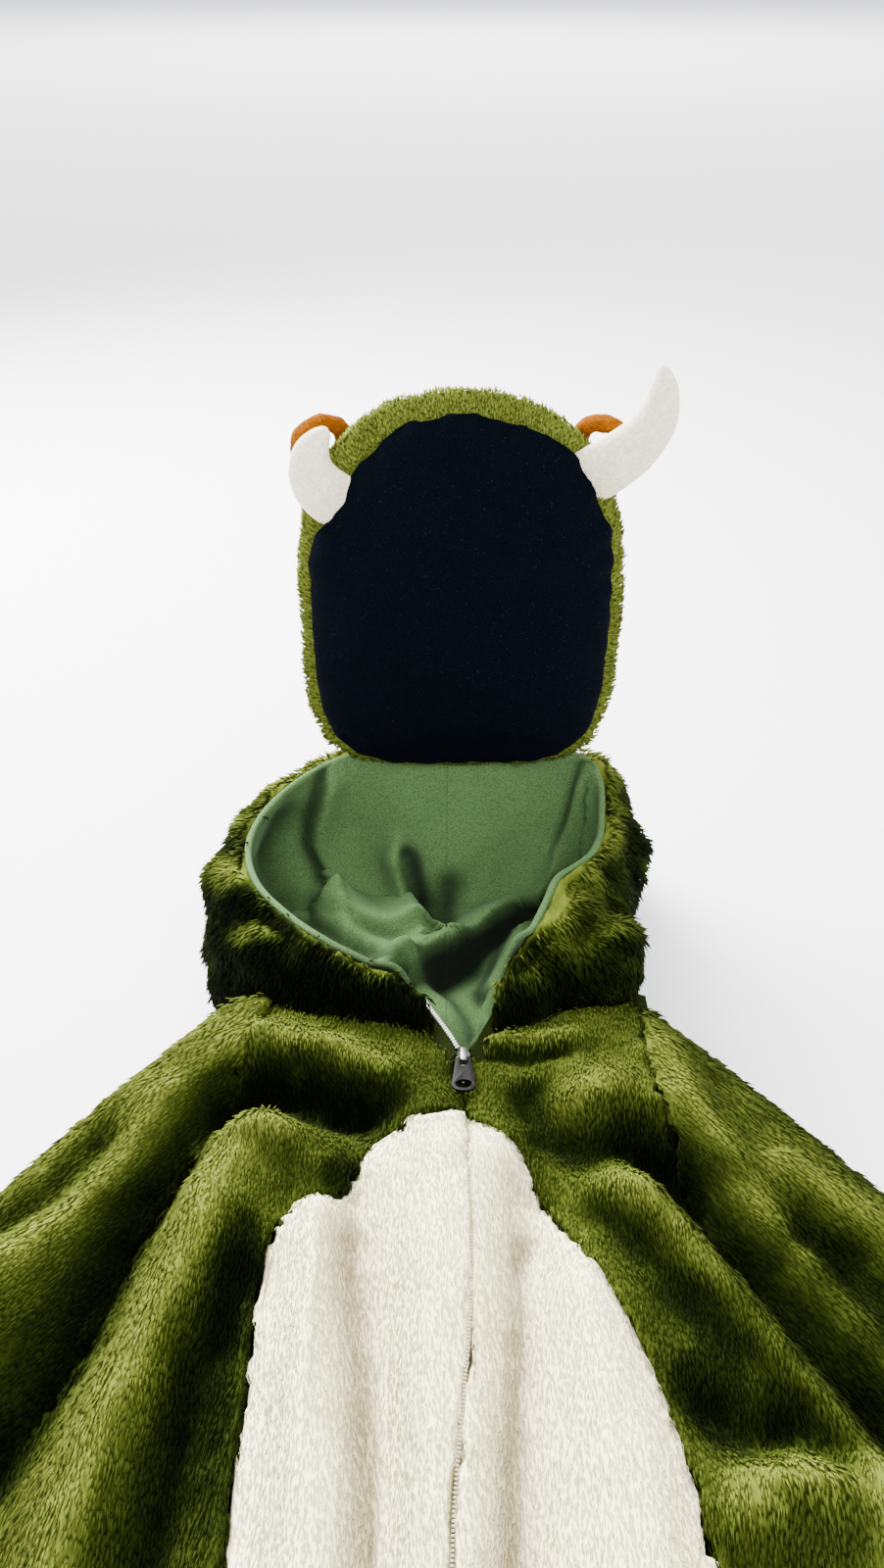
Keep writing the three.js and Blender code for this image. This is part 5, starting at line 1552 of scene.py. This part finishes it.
def lofted_tooth(node, rings):
    verts, faces = ovals_along(rings)
    mesh = bpy.data.meshes.new(node + "_fleece")
    mesh.from_pydata([tuple(v) for v in placed(verts)], [], faces)
    obj = link(node + "_fleece", mesh)
    rounder = obj.modifiers.new("rounder", "SUBSURF")
    rounder.levels = rounder.render_levels = 2
    settled(obj)
    reworked(obj.data, lambda work: bmesh.ops.recalc_face_normals(work, faces=work.faces))
    points, normals = coordinates(obj.data), normals_of(obj.data)
    wave = lumps(points, 0.012, 2) * 0.5 + lumps(points, 0.004, 3) * 0.2
    move_to(obj.data, points + normals * (wave * MM)[:, None])
    smooth_shaded(obj.data)
    obj.data.materials.append(tooth_cloth)
    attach(obj, "garment")
    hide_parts(node)
    print(node, len(obj.data.polygons), "faces")


for side, rings in TEETH.items():
    lofted_tooth(f"tooth_{side}", rings)
    nostril_ring(f"nostril_{side}")

# %% [markdown]
# A coil zip is one plastic thread wound into loops. From a step away each loop is a small bar, so a
# tree sets rounded bars at the coil's pitch along the line of each strip.

# %% Zip teeth
TOOTH_PITCH = 1.55
TOOTH_SIZE = (1.5, 0.95, 1.0)
OPEN_PITCH = 1.75
OPEN_TOOTH_SIZE = (2.1, 0.9, 1.3)
TOOTH_ROUNDING = 0.28
CHAIN_LOWERED = 0.7
OPEN_LEFT = [(-3.2, 9, 61.5), (-6.5, 16, 62), (-10.5, 24, 61.5), (-15, 32, 61.5), (-20, 40.5, 62)]
ALONG_INPUTS = [("Pitch", "Float", 0.0015), ("Shape", "Object", None), ("Finish", "Material", None)]


def rounded_bar(work, size):
    bmesh.ops.create_cube(work, size=1)
    bmesh.ops.scale(work, vec=[v * MM for v in size], verts=work.verts)
    bmesh.ops.bevel(work, geom=work.edges[:], offset=TOOTH_ROUNDING * MM, segments=1, affect="EDGES")


def coil_bar(name, size):
    obj = link(name, bpy.data.meshes.new(name))
    reworked(obj.data, lambda work: rounded_bar(work, size))
    obj.hide_render = True
    return obj


bar = coil_bar("coil_bar", TOOTH_SIZE)
open_bar = coil_bar("open_coil_bar", OPEN_TOOTH_SIZE)


def along_tree():
    tree, given, result = new_tree("set_along_line", ALONG_INPUTS)
    line = tree.nodes.new("GeometryNodeMeshToCurve")
    tree.links.new(given.outputs["Geometry"], line.inputs["Mesh"])
    steps = add_node(tree, "GeometryNodeCurveToPoints", mode="LENGTH")
    tree.links.new(line.outputs["Curve"], steps.inputs["Curve"])
    tree.links.new(given.outputs["Pitch"], steps.inputs["Length"])
    up = (0, 0, 1)
    plant = copies(tree, steps.outputs["Points"], given.outputs["Shape"], "YZ", steps.outputs["Tangent"], up)
    made_real(tree, plant.outputs["Instances"], given.outputs["Finish"], result)
    return tree


set_along = along_tree()


def coil_along(name, points, pitch, shape, finish):
    mesh = bpy.data.meshes.new(name)
    mesh.from_pydata([tuple(p) for p in points], [(i, i + 1) for i in range(len(points) - 1)], [])
    obj = link(name, mesh)
    modifier = obj.modifiers.new("repeat", "NODES")
    modifier.node_group = set_along
    set_inputs(modifier, Pitch=pitch * MM, Shape=shape, Finish=finish)
    settled(obj)
    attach(obj, "garment")
    print(name, len(obj.data.polygons), "faces")
    return obj


lowered = CHAIN_LINE - np.array([0, 0, CHAIN_LOWERED * MM])
closed_teeth = coil_along("zip_teeth_closed", lowered, TOOTH_PITCH, bar, shaded_coil)
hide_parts("zip_chain")
coil_along("zip_teeth_left", placed(OPEN_LEFT), OPEN_PITCH, open_bar, coil_plastic)

# %% [markdown]
# Each edge of the open zip is sewn on a dark tape, of which a narrow slope shows beside the teeth. It
# is a ribbon between two lines. The strips of the solids stay and take the tape's cloth. The teeth of
# the right edge aren't made, since the photograph hardly shows them.

# %% Zip tapes
RIBBON_THICKNESS = 0.5
RIBBON_LOWEST = 0.5  # mm above the table
OPEN_TAPES = {
    "left": {
        "line": [(-3.4, 7, 59), (-10.7, 23, 60), (-15.2, 31, 60.4), (-20.4, 39.5, 61)],
        "out": (-5.2, -2.8, -5),
    },
    "right": {
        "line": [(3.4, 7, 59), (10, 22, 59.5), (14.5, 31, 60), (19, 40, 61)],
        "out": (5.2, -2.8, -5),
    },
}


def ribbon(name, edges):
    """A strip of tape cloth between lines of equal length, each with a row of points."""
    rows = np.array(edges, float)
    rows[:, :, 2] = np.maximum(rows[:, :, 2], RIBBON_LOWEST)
    across, long = rows.shape[:2]
    faces = []
    for i in range(across - 1):
        for j in range(long - 1):
            a = i * long + j
            faces.append((a, a + 1, a + long + 1, a + long))
    mesh = bpy.data.meshes.new(name)
    mesh.from_pydata([tuple(v) for v in placed(rows.reshape(-1, 3))], [], faces)
    obj = link(name, mesh)
    shell = obj.modifiers.new("thickness", "SOLIDIFY")
    shell.thickness, shell.offset = RIBBON_THICKNESS * MM, 0
    settled(obj)
    obj.data.materials.append(tape_cloth)
    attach(obj, "garment")
    print(name, len(obj.data.polygons), "faces")
    return obj


for side, row in OPEN_TAPES.items():
    line = np.array(row["line"], float)
    ribbon(f"zip_tape_{side}", [line, line + np.array(row["out"])])
    strip = frame["nodes"][f"zip_open_{side}"]
    strip.data.materials.clear()
    strip.data.materials.append(tape_cloth)

# %% [markdown]
# The slider and its pull tab are die-cast metal. Their solids already have the right form, so each is
# a copy with its edges rounded. The tab rides on its own body, which swings on the slider's bridge.

# %% Slider and pull tab
METAL_ROUNDING = 0.35
SHARP = 35  # degrees, from which an edge is rounded


def rounded_metal(node, metal, body):
    obj = merged_copy(node, node + "_metal")
    bevel = obj.modifiers.new("rounded", "BEVEL")
    bevel.width, bevel.segments = METAL_ROUNDING * MM, 3
    bevel.limit_method, bevel.angle_limit = "ANGLE", math.radians(SHARP)
    settled(obj)
    smooth_shaded(obj.data)
    obj.data.materials.append(metal)
    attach(obj, body)
    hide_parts(node)
    print(node, len(obj.data.polygons), "faces")


rounded_metal("zip_slider", slider_metal, "garment")
rounded_metal("zip_pull", pull_metal, "zip_pull")

# %% [markdown]
# Inside each raglan seam the two cloths' edges lie together as a seam allowance. A ribbon of backing
# follows each seam just under the cloth, so that the table never shows between the pieces. It takes
# the near-black tape cloth, which is painted shade of the seam's crease. Its height is felt out: rays
# are dropped on the dressed cloth from above.

# %% Seam allowances
RAGLANS = {
    "left": [(-104.5, 70), (-105, 55), (-122, -27), (-151, -83), (-166, -137), (-189, -178)],
    "right": [(98, 70), (98, 50), (94, -10), (106, -68), (122, -104), (146, -148), (180, -179)],
}
ALLOWANCE = 7.0  # mm to each side of the seam
ALLOWANCE_UNDER = 3.2  # mm below the outside of the cloth
ALLOWANCE_RISE = 2.5  # mm that its edges may lie above its middle
ALLOWANCE_STEPS = 60
ABOVE_ALL = 200  # mm


def outside_height(trees, x, y):
    """The height of the cloth at a place, or None where there is none."""
    start = Vector(placed((x, y, ABOVE_ALL)))
    drops = (tree.ray_cast(start, Vector((0, 0, -1))) for tree in trees)
    hits = [place.z for place, _, _, _ in drops if place]
    return max(hits) / MM if hits else None


def seam_columns(trees, line):
    """Five lines along a seam: its middle, and two to each side, just under the cloth."""
    ys = np.linspace(line[0][1], line[-1][1], ALLOWANCE_STEPS)
    xs = np.interp(-ys, [-y for _, y in line], [x for x, _ in line])
    columns = []
    for shift in (-ALLOWANCE, -ALLOWANCE / 2, 0, ALLOWANCE / 2, ALLOWANCE):
        heights = [outside_height(trees, x + shift, y) for x, y in zip(xs, ys)]
        known = [i for i, h in enumerate(heights) if h is not None]
        filled = np.interp(range(len(ys)), known, [heights[i] for i in known])
        columns.append(np.column_stack([xs + shift, ys, filled - ALLOWANCE_UNDER]))
    for column in columns:
        column[:, 2] = np.minimum(column[:, 2], columns[2][:, 2] + ALLOWANCE_RISE)
    columns[2][:, 2] = np.minimum(columns[2][:, 2], (columns[1][:, 2] + columns[3][:, 2]) / 2)
    return columns


# near-black ribbons: a real seam allowance, coloured as painted shade in the seam gaps
allowances = {}
for side, line in RAGLANS.items():
    graph = bpy.context.evaluated_depsgraph_get()
    trees = [BVHTree.FromObject(cloth_of[f"{name}_{side}"], graph) for name in ("front", "sleeve")]
    allowances[side] = ribbon(f"seam_allowance_{side}", seam_columns(trees, line))

# %% [markdown]
# Each piece of cloth is listed with the flat size that it is cut to, a sleeve or leg as the one
# piece that is sewn into a tube, and its measured area is printed beside the stated one. The area is
# less than width times length because the cut has curves.

CUTS = [
    {"node": "front_left", "flat": (0.19, 0.475), "area": 0.063},
    {"node": "front_right", "flat": (0.185, 0.475), "area": 0.058},
    {"node": "back", "flat": (0.39, 0.5), "area": 0.154},
    {"node": "belly_left", "flat": (0.105, 0.4), "area": 0.0335},
    {"node": "belly_right", "flat": (0.1, 0.4), "area": 0.0305},
    {"node": "sleeve_left", "flat": (0.27, 0.33), "area": 0.071},
    {"node": "sleeve_right", "flat": (0.27, 0.33), "area": 0.074},
    {"node": "leg_left", "flat": (0.31, 0.32), "area": 0.093},
    {"node": "leg_right", "flat": (0.31, 0.32), "area": 0.093},
    {"node": "hood_left", "flat": (0.25, 0.3), "area": 0.058},
    {"node": "hood_right", "flat": (0.24, 0.29), "area": 0.05},
    {"node": "hood_lining_left", "flat": (0.24, 0.28), "area": 0.045},
    {"node": "hood_lining_right", "flat": (0.22, 0.27), "area": 0.036},
]
for row in CUTS:
    node = row["node"]
    sheet = linings[node] if node in linings else cloth_of[node]
    going = [pile_on[node]] if node in pile_on else []
    if node.startswith("sleeve"):
        going.append(allowances[node.removeprefix("sleeve_")])
    measured = sum(p.area for p in sheet.data.polygons) / 2
    print(node, "area", round(measured, 4), "stated", row["area"])

# %% [markdown]
# The helpers that were only copied from are removed, and the model's count of triangles is printed.

# %% Finish
for helper in (lock, bar, open_bar):
    bpy.data.objects.remove(helper)

total = sum(len(p.vertices) - 2 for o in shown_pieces() for p in o.data.polygons)
print("triangles in all:", total)
